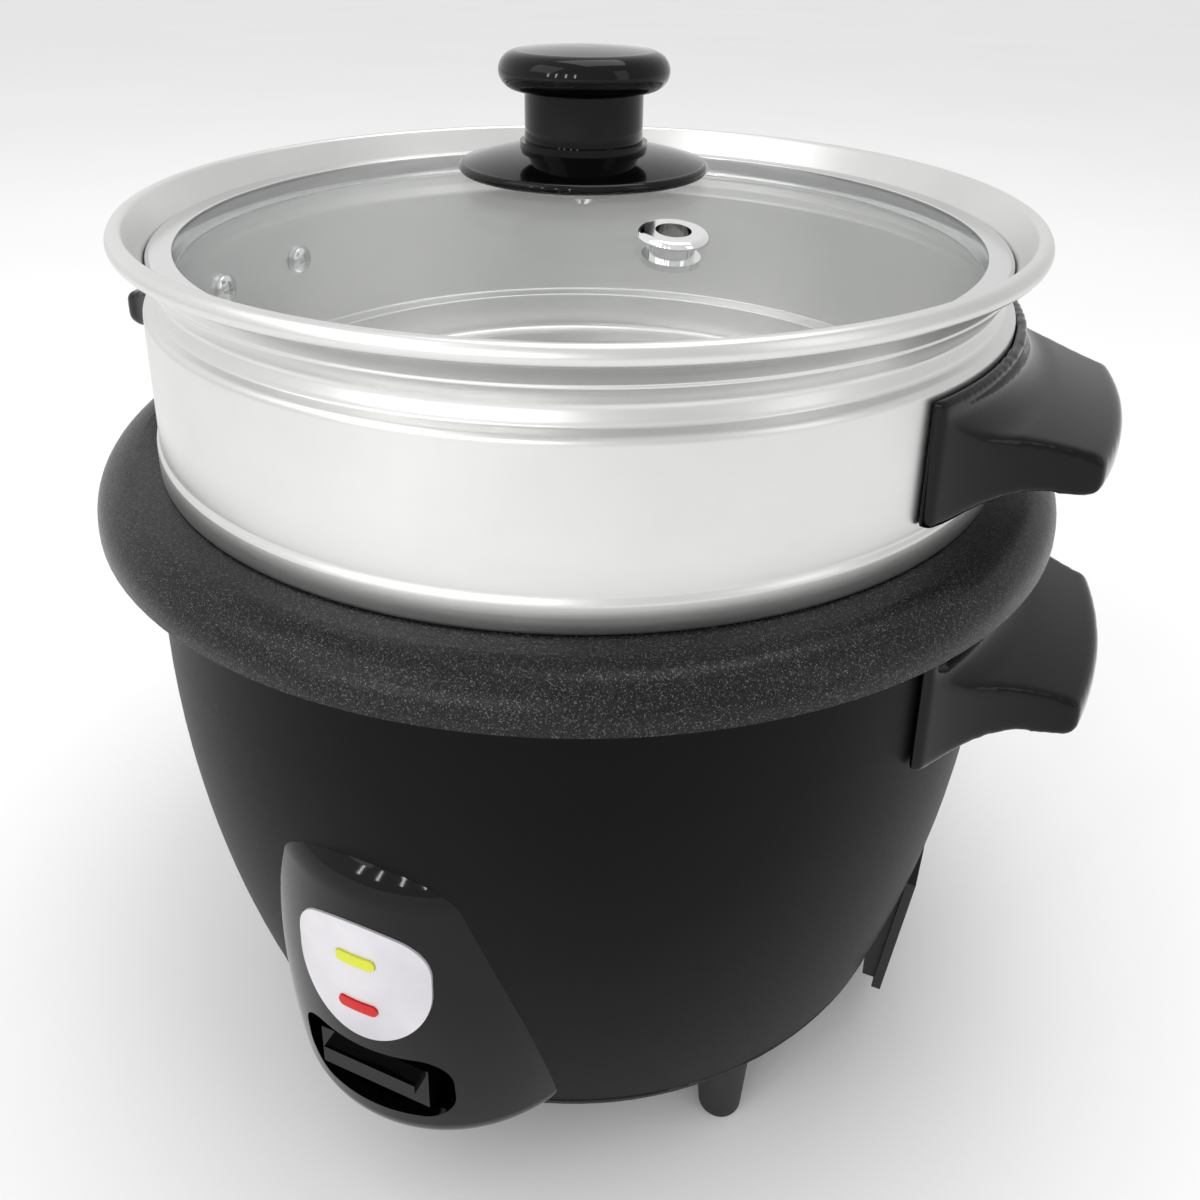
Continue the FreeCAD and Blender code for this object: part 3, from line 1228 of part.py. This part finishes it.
outer_body()
base()
liner()
heating()
thermostat()
cook_lever()
control_panel()
lamps()
inlet()
electrics()
handle("body", "body_radius", BODY_HANDLE_Z, BODY_SCREW_Z)
handle_screws("body", "body_radius", "body_wall", BODY_SCREW_Z)
inner_pot()
steamer_tray()
handle("steamer", TRAY_OUT, TRAY_HANDLE_Z, TRAY_SCREW_Z)
handle_screws("steamer", TRAY_OUT, "tray_wall", TRAY_SCREW_Z)
lid()
knob()
doc.recompute()

for item in doc.Objects:
    if "Invalid" in item.State or "Error" in item.State:
        raise RuntimeError(f"{item.Label} did not build: {item.State}")
for label, item in nodes.items():
    if item.Shape.isNull() or not item.Shape.isValid():
        raise RuntimeError(f"{label} has no valid shape")

os.makedirs("parts", exist_ok=True)
for label, item in nodes.items():
    item.Shape.exportStep(f"parts/{label}.step")
    print(label, len(item.Shape.Solids), round(item.Shape.Volume, 1))
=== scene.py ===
import bpy
import bmesh
import json
import math
from mathutils import Matrix, Vector


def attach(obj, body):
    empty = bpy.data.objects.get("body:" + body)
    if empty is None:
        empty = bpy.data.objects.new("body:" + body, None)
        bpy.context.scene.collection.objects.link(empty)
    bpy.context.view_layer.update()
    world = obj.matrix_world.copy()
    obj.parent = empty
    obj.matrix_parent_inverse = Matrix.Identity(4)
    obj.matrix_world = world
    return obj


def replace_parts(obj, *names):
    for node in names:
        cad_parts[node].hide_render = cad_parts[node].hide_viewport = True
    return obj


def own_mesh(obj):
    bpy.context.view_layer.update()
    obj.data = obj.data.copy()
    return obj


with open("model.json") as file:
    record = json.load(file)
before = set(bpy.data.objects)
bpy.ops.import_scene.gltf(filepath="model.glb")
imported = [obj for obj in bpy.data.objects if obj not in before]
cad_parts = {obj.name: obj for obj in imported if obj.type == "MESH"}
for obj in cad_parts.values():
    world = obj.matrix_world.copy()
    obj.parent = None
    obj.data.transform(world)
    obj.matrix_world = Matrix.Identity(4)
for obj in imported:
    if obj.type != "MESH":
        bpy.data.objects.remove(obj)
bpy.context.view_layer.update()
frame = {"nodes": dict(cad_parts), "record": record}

# Camera, fitted to the circles of the pot rim, tray and knob in the photograph.
# The fit's vertical shift is -0.267. It is less here, so that other views keep the knob in the picture.
CAMERA_PLACE = (0.1071419, -0.240673, 0.2628362)
CAMERA_PITCH = math.radians(20.719)
CAMERA_TURN = math.radians(22.949)
CAMERA_ROLL = math.radians(0.881)
CAMERA_LENS = 34.0687
CAMERA_SENSOR = 36.0
CAMERA_SHIFT = (-0.00097, -0.2)
CAMERA_NEAREST = 0.01

# Sizes of textures, in repeats per metre
FLECK_SCALE = 5200
GRAIN_SCALE = 900
SPIN_SCALE = 1400
LENS_GRAIN_SCALE = 500
METAL_GRAIN_SCALE = 420
BADGE_CLOUD_SCALE = 60
GLOSS_RIPPLE_SCALE = 55
PATCH_SCALE = 26
SMEAR_SCALE = 14
PAINT_CLOUD_SCALE = 9
FLOOR_CLOUD_SCALE = 3

# Depths of fine relief, in metres
PAINT_RELIEF = 0.000012
FLECK_RELIEF = 0.00002
SPIN_RELIEF = 0.000008
MOULD_RELIEF = 0.00003
PANEL_RELIEF = 0.00002
HANDLE_RELIEF = 0.00003
KNOB_RELIEF = 0.00001

# Colours, linear, and tones along a texture
PAINT_BLACK = (0.004, 0.004, 0.0045)
PAINT_TONES = [(0.3, (0.003, 0.003, 0.0033)), (0.7, (0.005, 0.005, 0.0054))]
GLOSS_BLACK = (0.0015, 0.0015, 0.0018)
POT_BLACK = (0.02, 0.02, 0.021)
POT_TONES = [(0.0, (0.005, 0.005, 0.0054)), (0.6, (0.01, 0.01, 0.0105)), (0.88, (0.03, 0.03, 0.031)),
             (0.98, (0.1, 0.1, 0.1))]
# Pale glass colour: a slight tint, and a painted reflection of the white surroundings where the glass is seen
# at a grazing angle
GLASS_TINT_AND_PAINTED_REFLECTION = (0.86, 0.9, 0.9)
BADGE_SILVER = (0.62, 0.6, 0.64)
BADGE_TONES = [(0.3, (0.56, 0.545, 0.58)), (0.7, (0.68, 0.665, 0.69))]
FLOOR_WHITE = (0.9, 0.9, 0.9)
FLOOR_TONES = [(0.3, (0.88, 0.88, 0.88)), (0.7, (0.9, 0.9, 0.9))]
ALUMINIUM_WARMTH = 0.985
PATCH_DARK = 0.93
PATCH_STOPS = (0.3, 0.62)
SPIN_STRETCH = (0.02, 0.02, 1.0)

# Range of roughness about a finish's own value
SPIN_SPREAD = (-0.05, 0.09)
METAL_SPREAD = (-0.04, 0.06)
MOULD_SPREAD = (-0.06, 0.08)
SMOOTHEST = 0.02

# Outlines of turned pieces: radius, height and corner rounding, in millimetres
TRAY_OUTLINE = [
    (81.0, 141.0, 0.0), (86.0, 139.0, 2.0), (93.0, 139.0, 3.0), (93.0, 150.5, 0.4), (99.6, 150.5, 0.9),
    (99.6, 156.6, 0.5), (99.0, 157.6, 0.5), (99.0, 186.8, 1.4), (96.7, 188.0, 0.8), (96.6, 188.8, 0.6),
    (95.7, 191.4, 0.9), (98.2, 195.4, 0.3), (98.05, 195.9, 0.2), (101.3, 200.8, 0.8), (104.0, 200.8, 1.3),
    (104.6, 202.6, 1.2), (103.6, 204.7, 1.2), (101.4, 204.7, 1.1), (100.63, 203.1, 0.8),
    (94.7, 191.4, 0.9), (95.6, 188.3, 0.5), (98.0, 185.2, 1.0), (98.0, 151.5, 0.6), (92.0, 151.5, 0.5),
    (92.0, 140.0, 2.0), (86.2, 140.0, 1.6), (81.0, 142.0, 0.0),
]
RING_OUTLINE = [
    (91.8, 192.4, 0.3), (94.85, 192.4, 0.4), (97.45, 197.5, 0.8), (96.7, 198.3, 0.7), (91.8, 198.3, 0.3),
    (91.8, 197.65, 0.2), (94.05, 197.65, 0.1), (94.05, 193.1, 0.1), (91.8, 193.1, 0.2),
]

# Steps of curves and the share of an edge that a rounded corner may take
TURN_STEPS = 288
ROUND_STEPS = 5
ROUND_SHARE = 0.48
SMOOTH_ANGLE = 40

# Tray floor, in millimetres: radius, underside and top, and rings of holes by radius and count
DECK = (81.0, 141.0, 142.0)
STEAM_RINGS = ((26, 8), (46, 14), (66, 20))
STEAM_HOLE = 2.6
DECK_STEPS = 192
HOLE_STEPS = 28

# Tray screws, in millimetres
SCREW_PLACES = [(side, along) for side in (1, -1) for along in (16, -16)]
SCREW_HEIGHT = 173.0
SCREW_HEAD = 4.1
SCREW_DOME = 2.1
SCREW_SEAT = 96.0
SCREW_SINK = -1.0
SCREW_RINGS = 26
SCREW_SPOKES = 72
SCREW_SMOOTH_ANGLE = 35
CROSS_ARM = 2.3
CROSS_HALF = 0.55
CROSS_DEPTH = 1.3
CROSS_BEVEL = 0.25

# Softened handles, in metres
HANDLES = ("body_handle_right", "body_handle_left", "steamer_handle_right", "steamer_handle_left")
HANDLE_VOXEL = 0.0007
HANDLE_SOFTEN = 14
HANDLE_SOFTNESS = 0.5

MILLI = 0.001
FULL_TURN = 2 * math.pi

# Studio: sky strength to the left and right, and lights by place, size and power
FLOOR_WIDTH = 12
SKY_LEFT = 1.0
SKY_RIGHT = 0.72
LIGHT_TARGET = (0, 0, 0.12)
LIGHTS = {
    "key": ((-0.7, -0.9, 1.1), (0.9, 0.9), 3.5),
    "top": ((0.1, 0.15, 1.3), (0.8, 0.8), 5),
    "side": ((1.2, -0.3, 0.6), (0.4, 0.9), 1),
}
TUBE_PLACES = (-0.57, -0.3, 0.0, 0.28)
TUBE_FRONT = -1.3
TUBE_HEIGHT = 0.52
TUBE_SIZE = (0.03, 0.4)
TUBE_POWER = 1.0
TUBE_TARGET = (0, -0.1, 0.1)


def material(name, colour, roughness, metallic=0.0, **sockets):
    """New material with its constant values set on the shader itself."""
    made = bpy.data.materials.new(name)
    made.use_nodes = True
    shader = made.node_tree.nodes["Principled BSDF"]
    shader.inputs["Base Color"].default_value = (*colour, 1)
    shader.inputs["Roughness"].default_value = roughness
    shader.inputs["Metallic"].default_value = metallic
    for socket, number in sockets.items():
        shader.inputs[socket.replace("_", " ")].default_value = number
    return made, made.node_tree, shader


def add(tree, kind, **settings):
    """New shader node with some of its settings or inputs set."""
    made = tree.nodes.new(kind)
    for name, setting in settings.items():
        if name in made.inputs:
            made.inputs[name].default_value = setting
        else:
            setattr(made, name, setting)
    return made


def noise(tree, scale, detail=3.0, stretch=(1, 1, 1)):
    """Noise in the object's own coordinates."""
    spot = add(tree, "ShaderNodeTexCoord")
    spread = add(tree, "ShaderNodeMapping")
    spread.inputs["Scale"].default_value = stretch
    grain = add(tree, "ShaderNodeTexNoise", Scale=scale, Detail=detail)
    tree.links.new(spot.outputs["Object"], spread.inputs["Vector"])
    tree.links.new(spread.outputs["Vector"], grain.inputs["Vector"])
    return grain


def span(tree, source, low, high):
    """Map a 0 to 1 output to a range."""
    mapped = add(tree, "ShaderNodeMapRange")
    mapped.inputs["To Min"].default_value = low
    mapped.inputs["To Max"].default_value = high
    tree.links.new(source, mapped.inputs["Value"])
    return mapped.outputs["Result"]


def ramp(tree, source, stops):
    """Colours along a 0 to 1 output."""
    made = add(tree, "ShaderNodeValToRGB")
    elements = made.color_ramp.elements
    while len(elements) < len(stops):
        elements.new(0.5)
    for element, (place, colour) in zip(elements, stops):
        element.position = place
        element.color = (*colour, 1)
    tree.links.new(source, made.inputs["Fac"])
    return made.outputs["Color"]


def bump(tree, shader, source, depth):
    """Fine relief from a texture, with its depth in metres."""
    made = add(tree, "ShaderNodeBump", Strength=1.0, Distance=depth)
    tree.links.new(source, made.inputs["Height"])
    tree.links.new(made.outputs["Normal"], shader.inputs["Normal"])


def satin_paint():
    """Satin black enamel of the body."""
    made, tree, shader = material("satin_black_paint", PAINT_BLACK, roughness=0.42, Specular_IOR_Level=0.06)
    fine = noise(tree, GRAIN_SCALE)
    tree.links.new(span(tree, fine.outputs["Fac"], low=0.36, high=0.45), shader.inputs["Roughness"])
    bump(tree, shader, fine.outputs["Fac"], PAINT_RELIEF)
    wide = noise(tree, PAINT_CLOUD_SCALE)
    tree.links.new(ramp(tree, wide.outputs["Fac"], PAINT_TONES), shader.inputs["Base Color"])
    return made


def gloss_black(name, depth):
    """Polished black moulding."""
    made, tree, shader = material(name, GLOSS_BLACK, roughness=0.06, Specular_IOR_Level=0.22)
    wide = noise(tree, GLOSS_RIPPLE_SCALE)
    tree.links.new(span(tree, wide.outputs["Fac"], low=0.04, high=0.1), shader.inputs["Roughness"])
    bump(tree, shader, wide.outputs["Fac"], depth)
    return made


def pot_coating():
    """Charcoal non-stick coating with metallic flecks."""
    made, tree, shader = material("flecked_nonstick", POT_BLACK, roughness=0.32, metallic=0.4,
                                  Specular_IOR_Level=0.3)
    spot = add(tree, "ShaderNodeTexCoord")
    cells = add(tree, "ShaderNodeTexVoronoi", Scale=FLECK_SCALE)
    tree.links.new(spot.outputs["Object"], cells.inputs["Vector"])
    tone = add(tree, "ShaderNodeSeparateColor")
    tree.links.new(cells.outputs["Color"], tone.inputs["Color"])
    tree.links.new(ramp(tree, tone.outputs["Red"], POT_TONES), shader.inputs["Base Color"])
    tree.links.new(span(tree, tone.outputs["Green"], low=0.26, high=0.4), shader.inputs["Roughness"])
    bump(tree, shader, tone.outputs["Blue"], FLECK_RELIEF)
    return made


def spun_aluminium(name, shade, roughness):
    """Satin aluminium with fine rings left by the spinning."""
    light = (shade, shade, shade * ALUMINIUM_WARMTH)
    dark = tuple(tone * PATCH_DARK for tone in light)
    made, tree, shader = material(name, light, roughness, metallic=1.0)
    rings = noise(tree, SPIN_SCALE, detail=4.0, stretch=SPIN_STRETCH)
    low, high = SPIN_SPREAD
    tree.links.new(span(tree, rings.outputs["Fac"], roughness + low, roughness + high),
                   shader.inputs["Roughness"])
    patches = noise(tree, PATCH_SCALE, detail=5.0)
    tree.links.new(ramp(tree, patches.outputs["Fac"], list(zip(PATCH_STOPS, (dark, light)))),
                   shader.inputs["Base Color"])
    bump(tree, shader, rings.outputs["Fac"], SPIN_RELIEF)
    return made


def plain_metal(name, shade, roughness):
    """Plain or polished metal with a slight grain."""
    made, tree, shader = material(name, (shade, shade, shade), roughness, metallic=1.0)
    grain = noise(tree, METAL_GRAIN_SCALE)
    low, high = METAL_SPREAD
    tree.links.new(span(tree, grain.outputs["Fac"], max(roughness + low, SMOOTHEST), roughness + high),
                   shader.inputs["Roughness"])
    return made


def clear_glass():
    """Clear glass that turns less see-through at a grazing angle, where its pale colour is a painted
    reflection of the white surroundings; its gloss is real.
    """
    made, tree, shader = material("clear_glass", GLASS_TINT_AND_PAINTED_REFLECTION, roughness=0.02, IOR=1.5, Specular_IOR_Level=1.0)
    # Painted reflection: grazing angles show more of the pale glass colour, standing in for the reflection of
    # the white surroundings
    painted_reflection_mask = add(tree, "ShaderNodeLayerWeight", Blend=0.25)
    tree.links.new(span(tree, painted_reflection_mask.outputs["Facing"], low=0.02, high=0.2), shader.inputs["Alpha"])
    smear = noise(tree, SMEAR_SCALE)
    tree.links.new(span(tree, smear.outputs["Fac"], low=0.01, high=0.05), shader.inputs["Roughness"])
    return made


def moulded(name, colour, roughness):
    """Matt moulding with a fine grain."""
    made, tree, shader = material(name, colour, roughness)
    grain = noise(tree, GRAIN_SCALE)
    low, high = MOULD_SPREAD
    tree.links.new(span(tree, grain.outputs["Fac"], roughness + low, roughness + high),
                   shader.inputs["Roughness"])
    bump(tree, shader, grain.outputs["Fac"], MOULD_RELIEF)
    return made


def badge_silver():
    """Silver-white satin of the panel's plate."""
    made, tree, shader = material("badge_silver", BADGE_SILVER, roughness=0.3, metallic=0.25)
    cloud = noise(tree, BADGE_CLOUD_SCALE)
    tree.links.new(ramp(tree, cloud.outputs["Fac"], BADGE_TONES), shader.inputs["Base Color"])
    return made


def lens(name, colour):
    """Lamp window in coloured plastic."""
    made, tree, shader = material(name, colour, roughness=0.25, Specular_IOR_Level=0.3, Emission_Strength=0.1)
    shader.inputs["Emission Color"].default_value = (*colour, 1)
    grain = noise(tree, LENS_GRAIN_SCALE)
    tree.links.new(span(tree, grain.outputs["Fac"], low=0.2, high=0.32), shader.inputs["Roughness"])
    return made


SLOT_MATERIALS = {
    "body_paint": satin_paint(),
    "panel_gloss": gloss_black("panel_gloss_black", PANEL_RELIEF),
    "handle_gloss": gloss_black("handle_gloss_black", HANDLE_RELIEF),
    "knob_gloss": gloss_black("knob_gloss_black", KNOB_RELIEF),
    "base_plastic": moulded("base_black_plastic", (0.012, 0.012, 0.013), roughness=0.5),
    "foot_rubber": moulded("foot_black_rubber", (0.01, 0.01, 0.01), roughness=0.6),
    "liner_steel": plain_metal("liner_sheet", shade=0.55, roughness=0.35),
    "pot_coating": pot_coating(),
    "tray_aluminium": spun_aluminium("tray_spun_aluminium", shade=0.72, roughness=0.32),
    "plate_aluminium": spun_aluminium("plate_machined_aluminium", shade=0.62, roughness=0.3),
    "steel": plain_metal("zinc_steel", shade=0.55, roughness=0.3),
    "chrome": plain_metal("vent_chrome", shade=0.82, roughness=0.06),
    "ring_steel": plain_metal("ring_polished_steel", shade=0.7, roughness=0.16),
    "glass": clear_glass(),
    "badge_silver": badge_silver(),
    "lens_yellow": lens("lens_yellow_green", (0.55, 0.6, 0.03)),
    "lens_red": lens("lens_red", (0.5, 0.0, 0.0)),
    "bulb_glass": moulded("bulb_glass_body", (0.8, 0.75, 0.7), roughness=0.2),
    "gasket": moulded("silicone_gasket", (0.75, 0.77, 0.78), roughness=0.4),
    "magnet": moulded("dark_magnet", (0.05, 0.05, 0.05), roughness=0.5),
    "brass": plain_metal("pin_brass", shade=0.6, roughness=0.25),
    "white_ceramic": moulded("white_insulator", (0.75, 0.74, 0.7), roughness=0.3),
}


def rounded(outline):
    """Replace each corner of a closed outline by a curve of its own size."""
    points = []
    count = len(outline)
    for index, (radius, height, bend) in enumerate(outline):
        here = Vector((radius, height))
        if bend <= 0:
            points.append(here)
            continue
        back = Vector(outline[index - 1][:2]) - here
        on = Vector(outline[(index + 1) % count][:2]) - here
        reach = min(bend, back.length * ROUND_SHARE, on.length * ROUND_SHARE)
        start = here + back.normalized() * reach
        end = here + on.normalized() * reach
        for step in range(ROUND_STEPS + 1):
            share = step / ROUND_STEPS
            points.append(start * (1 - share) ** 2 + here * (2 * share * (1 - share)) + end * share ** 2)
    return points


def piece(name, mesh, body, slot, sharp=SMOOTH_ANGLE):
    """Smooth-shaded new piece on a body, with the finish of its slot."""
    mesh.shade_smooth()
    mesh.set_sharp_from_angle(angle=math.radians(sharp))
    made = bpy.data.objects.new(name, mesh)
    bpy.context.collection.objects.link(made)
    mesh.materials.append(SLOT_MATERIALS[slot])
    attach(made, body)
    return made


def turned(name, outline, body, slot):
    """Piece turned about the upright axis from a closed outline."""
    points = rounded(outline)
    shape = bmesh.new()
    rings = []
    for step in range(TURN_STEPS):
        angle = FULL_TURN * step / TURN_STEPS
        across, along = math.cos(angle), math.sin(angle)
        rings.append([shape.verts.new((point.x * across * MILLI, point.x * along * MILLI, point.y * MILLI))
                      for point in points])
    for step in range(TURN_STEPS):
        first, second = rings[step], rings[(step + 1) % TURN_STEPS]
        for index in range(len(points)):
            after = (index + 1) % len(points)
            shape.faces.new((first[index], second[index], second[after], first[after]))
    bmesh.ops.recalc_face_normals(shape, faces=shape.faces)
    mesh = bpy.data.meshes.new(name)
    shape.to_mesh(mesh)
    shape.free()
    return piece(name, mesh, body, slot)


def holed_deck():
    """Flat floor of the tray with its rings of steam holes."""
    radius, low, high = DECK
    plan = bpy.data.curves.new("deck_plan", "CURVE")
    plan.dimensions = "2D"
    plan.fill_mode = "BOTH"
    plan.extrude = (high - low) / 2 * MILLI
    circles = [(0, 0, radius, DECK_STEPS)]
    for ring, count in STEAM_RINGS:
        for index in range(count):
            angle = FULL_TURN * index / count
            circles.append((ring * math.cos(angle), ring * math.sin(angle), STEAM_HOLE, HOLE_STEPS))
    for x, y, size, steps in circles:
        line = plan.splines.new("POLY")
        line.points.add(steps - 1)
        for index, point in enumerate(line.points):
            angle = FULL_TURN * index / steps
            point.co = ((x + size * math.cos(angle)) * MILLI, (y + size * math.sin(angle)) * MILLI, 0, 1)
        line.use_cyclic_u = True
    holder = bpy.data.objects.new("deck_plan", plan)
    mesh = bpy.data.meshes.new_from_object(holder)
    bpy.data.objects.remove(holder)
    mesh.transform(Matrix.Translation((0, 0, (low + high) / 2 * MILLI)))
    piece("steamer_deck", mesh, "steamer", "tray_aluminium")


def screw_rise(across, up):
    """Height of a screw head over its seat, lower inside the cross recess."""
    reach = math.hypot(across, up)
    dome = SCREW_DOME * math.sqrt(max(0.0, 1 - (reach / SCREW_HEAD) ** 2))
    longer = max(abs(across), abs(up)) - CROSS_ARM
    shorter = min(abs(across), abs(up)) - CROSS_HALF
    outside = max(longer, shorter)
    if outside >= 0:
        return dome
    return dome - CROSS_DEPTH * min(1.0, -outside / CROSS_BEVEL)


def screw_head(shape, side, along):
    """Add one domed head with a cross recess to a mesh under construction."""
    def spot(across, up, rise):
        return shape.verts.new((side * (SCREW_SEAT - rise) * MILLI, (along + across) * MILLI,
                                (SCREW_HEIGHT + up) * MILLI))

    spokes = [(math.cos(FULL_TURN * index / SCREW_SPOKES), math.sin(FULL_TURN * index / SCREW_SPOKES))
              for index in range(SCREW_SPOKES)]
    grid = []
    for ring in range(1, SCREW_RINGS + 1):
        reach = SCREW_HEAD * ring / SCREW_RINGS
        places = [(reach * across, reach * up) for across, up in spokes]
        grid.append([spot(across, up, screw_rise(across, up)) for across, up in places])
    centre = spot(0, 0, screw_rise(0, 0))
    base = spot(0, 0, SCREW_SINK)
    foot = [spot(SCREW_HEAD * across, SCREW_HEAD * up, SCREW_SINK) for across, up in spokes]
    for index in range(SCREW_SPOKES):
        after = (index + 1) % SCREW_SPOKES
        shape.faces.new((centre, grid[0][index], grid[0][after]))
        for inner, outer in zip(grid, grid[1:]):
            shape.faces.new((inner[index], outer[index], outer[after], inner[after]))
        shape.faces.new((grid[-1][index], foot[index], foot[after], grid[-1][after]))
        shape.faces.new((base, foot[after], foot[index]))


def screw_heads():
    """Screw heads on the inside of the tray's wall."""
    shape = bmesh.new()
    for side, along in SCREW_PLACES:
        screw_head(shape, side, along)
    bmesh.ops.recalc_face_normals(shape, faces=shape.faces)
    mesh = bpy.data.meshes.new("steamer_screw_heads")
    shape.to_mesh(mesh)
    shape.free()
    made = piece("steamer_screw_heads", mesh, "steamer", "ring_steel", sharp=SCREW_SMOOTH_ANGLE)
    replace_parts(made, "steamer_handle_screws")


def soft_handles():
    """Round off the edges of the moulded handles."""
    for name in HANDLES:
        handle = frame["nodes"][name]
        skin = handle.modifiers.new("skin", "REMESH")
        skin.mode = "VOXEL"
        skin.voxel_size = HANDLE_VOXEL
        skin.use_smooth_shade = True
        soften = handle.modifiers.new("soften", "SMOOTH")
        soften.factor = HANDLE_SOFTNESS
        soften.iterations = HANDLE_SOFTEN


def pressed_spring():
    """Thermostat spring copied as a piece of its own on the housing, in place of the original."""
    coil = frame["nodes"]["sensor_spring"].data.copy()
    coil.materials.clear()
    made = piece("sensor_spring_coil", coil, "housing", "steel")
    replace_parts(made, "sensor_spring")
    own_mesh(made)


def dress_nodes():
    """Give each construction piece the finish of its slot."""
    for row in frame["record"]["subparts"]:
        finishes = frame["nodes"][row["node"]].data.materials
        finishes.clear()
        finishes.append(SLOT_MATERIALS[row["material_slot"]])


def camera():
    """Camera at about the photograph's place and angle."""
    forward = Vector((-math.sin(CAMERA_TURN) * math.cos(CAMERA_PITCH),
                      math.cos(CAMERA_TURN) * math.cos(CAMERA_PITCH), -math.sin(CAMERA_PITCH)))
    level = Vector((math.cos(CAMERA_TURN), math.sin(CAMERA_TURN), 0))
    upright = level.cross(forward)
    right = level * math.cos(CAMERA_ROLL) + upright * math.sin(CAMERA_ROLL)
    up = upright * math.cos(CAMERA_ROLL) - level * math.sin(CAMERA_ROLL)
    eye = bpy.data.objects.new("camera", bpy.data.cameras.new("camera"))
    bpy.context.collection.objects.link(eye)
    turn = Matrix((right, up, -forward)).transposed().to_4x4()
    eye.matrix_world = Matrix.Translation(CAMERA_PLACE) @ turn
    eye.data.lens = CAMERA_LENS
    eye.data.sensor_width = CAMERA_SENSOR
    eye.data.shift_x, eye.data.shift_y = CAMERA_SHIFT
    eye.data.clip_start = CAMERA_NEAREST
    bpy.context.scene.camera = eye


def soft_light(name, place, target, size, power):
    """Rectangular studio light that points at a place."""
    lamp = bpy.data.lights.new(name, "AREA")
    lamp.shape = "RECTANGLE"
    lamp.size, lamp.size_y = size
    lamp.energy = power
    holder = bpy.data.objects.new(name, lamp)
    bpy.context.collection.objects.link(holder)
    holder.location = place
    holder.rotation_euler = (Vector(target) - Vector(place)).to_track_quat("-Z", "Y").to_euler()
    holder.visible_camera = False


def pale_floor():
    """Plain pale floor under the object."""
    bpy.ops.mesh.primitive_plane_add(size=FLOOR_WIDTH, location=(0, 0, 0))
    floor = bpy.context.object
    floor.name = "studio_floor"
    white, tree, shader = material("floor_white", FLOOR_WHITE, roughness=0.6)
    shade = noise(tree, FLOOR_CLOUD_SCALE)
    tree.links.new(ramp(tree, shade.outputs["Fac"], FLOOR_TONES), shader.inputs["Base Color"])
    floor.data.materials.append(white)


def white_sky():
    """White surroundings, a little darker to the right."""
    world = bpy.data.worlds.new("studio")
    bpy.context.scene.world = world
    world.use_nodes = True
    sky = world.node_tree
    heading = add(sky, "ShaderNodeTexCoord")
    parts = add(sky, "ShaderNodeSeparateXYZ")
    sky.links.new(heading.outputs["Generated"], parts.inputs["Vector"])
    glow = add(sky, "ShaderNodeMapRange")
    glow.inputs["From Min"].default_value = -1.0
    glow.inputs["To Min"].default_value, glow.inputs["To Max"].default_value = SKY_LEFT, SKY_RIGHT
    sky.links.new(parts.outputs["X"], glow.inputs["Value"])
    sky.nodes["Background"].inputs["Color"].default_value = (1, 1, 1, 1)
    sky.links.new(glow.outputs["Result"], sky.nodes["Background"].inputs["Strength"])


def studio():
    """Floor, surroundings and soft lights, with four tubes that gleam in the panel."""
    pale_floor()
    white_sky()
    for name, (place, size, power) in LIGHTS.items():
        soft_light(name, place, LIGHT_TARGET, size, power)
    for index, across in enumerate(TUBE_PLACES):
        soft_light(f"tube_{index}", (across, TUBE_FRONT, TUBE_HEIGHT), TUBE_TARGET, TUBE_SIZE, TUBE_POWER)


dress_nodes()
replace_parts(turned("steamer_tray_wall", TRAY_OUTLINE, "steamer", "tray_aluminium"), "steamer_tray")
holed_deck()
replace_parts(turned("lid_steel_ring", RING_OUTLINE, "lid", "ring_steel"), "lid_ring")
screw_heads()
pressed_spring()
soft_handles()
camera()
studio()
bpy.context.scene.view_settings.view_transform = "Standard"

bpy.context.view_layer.update()
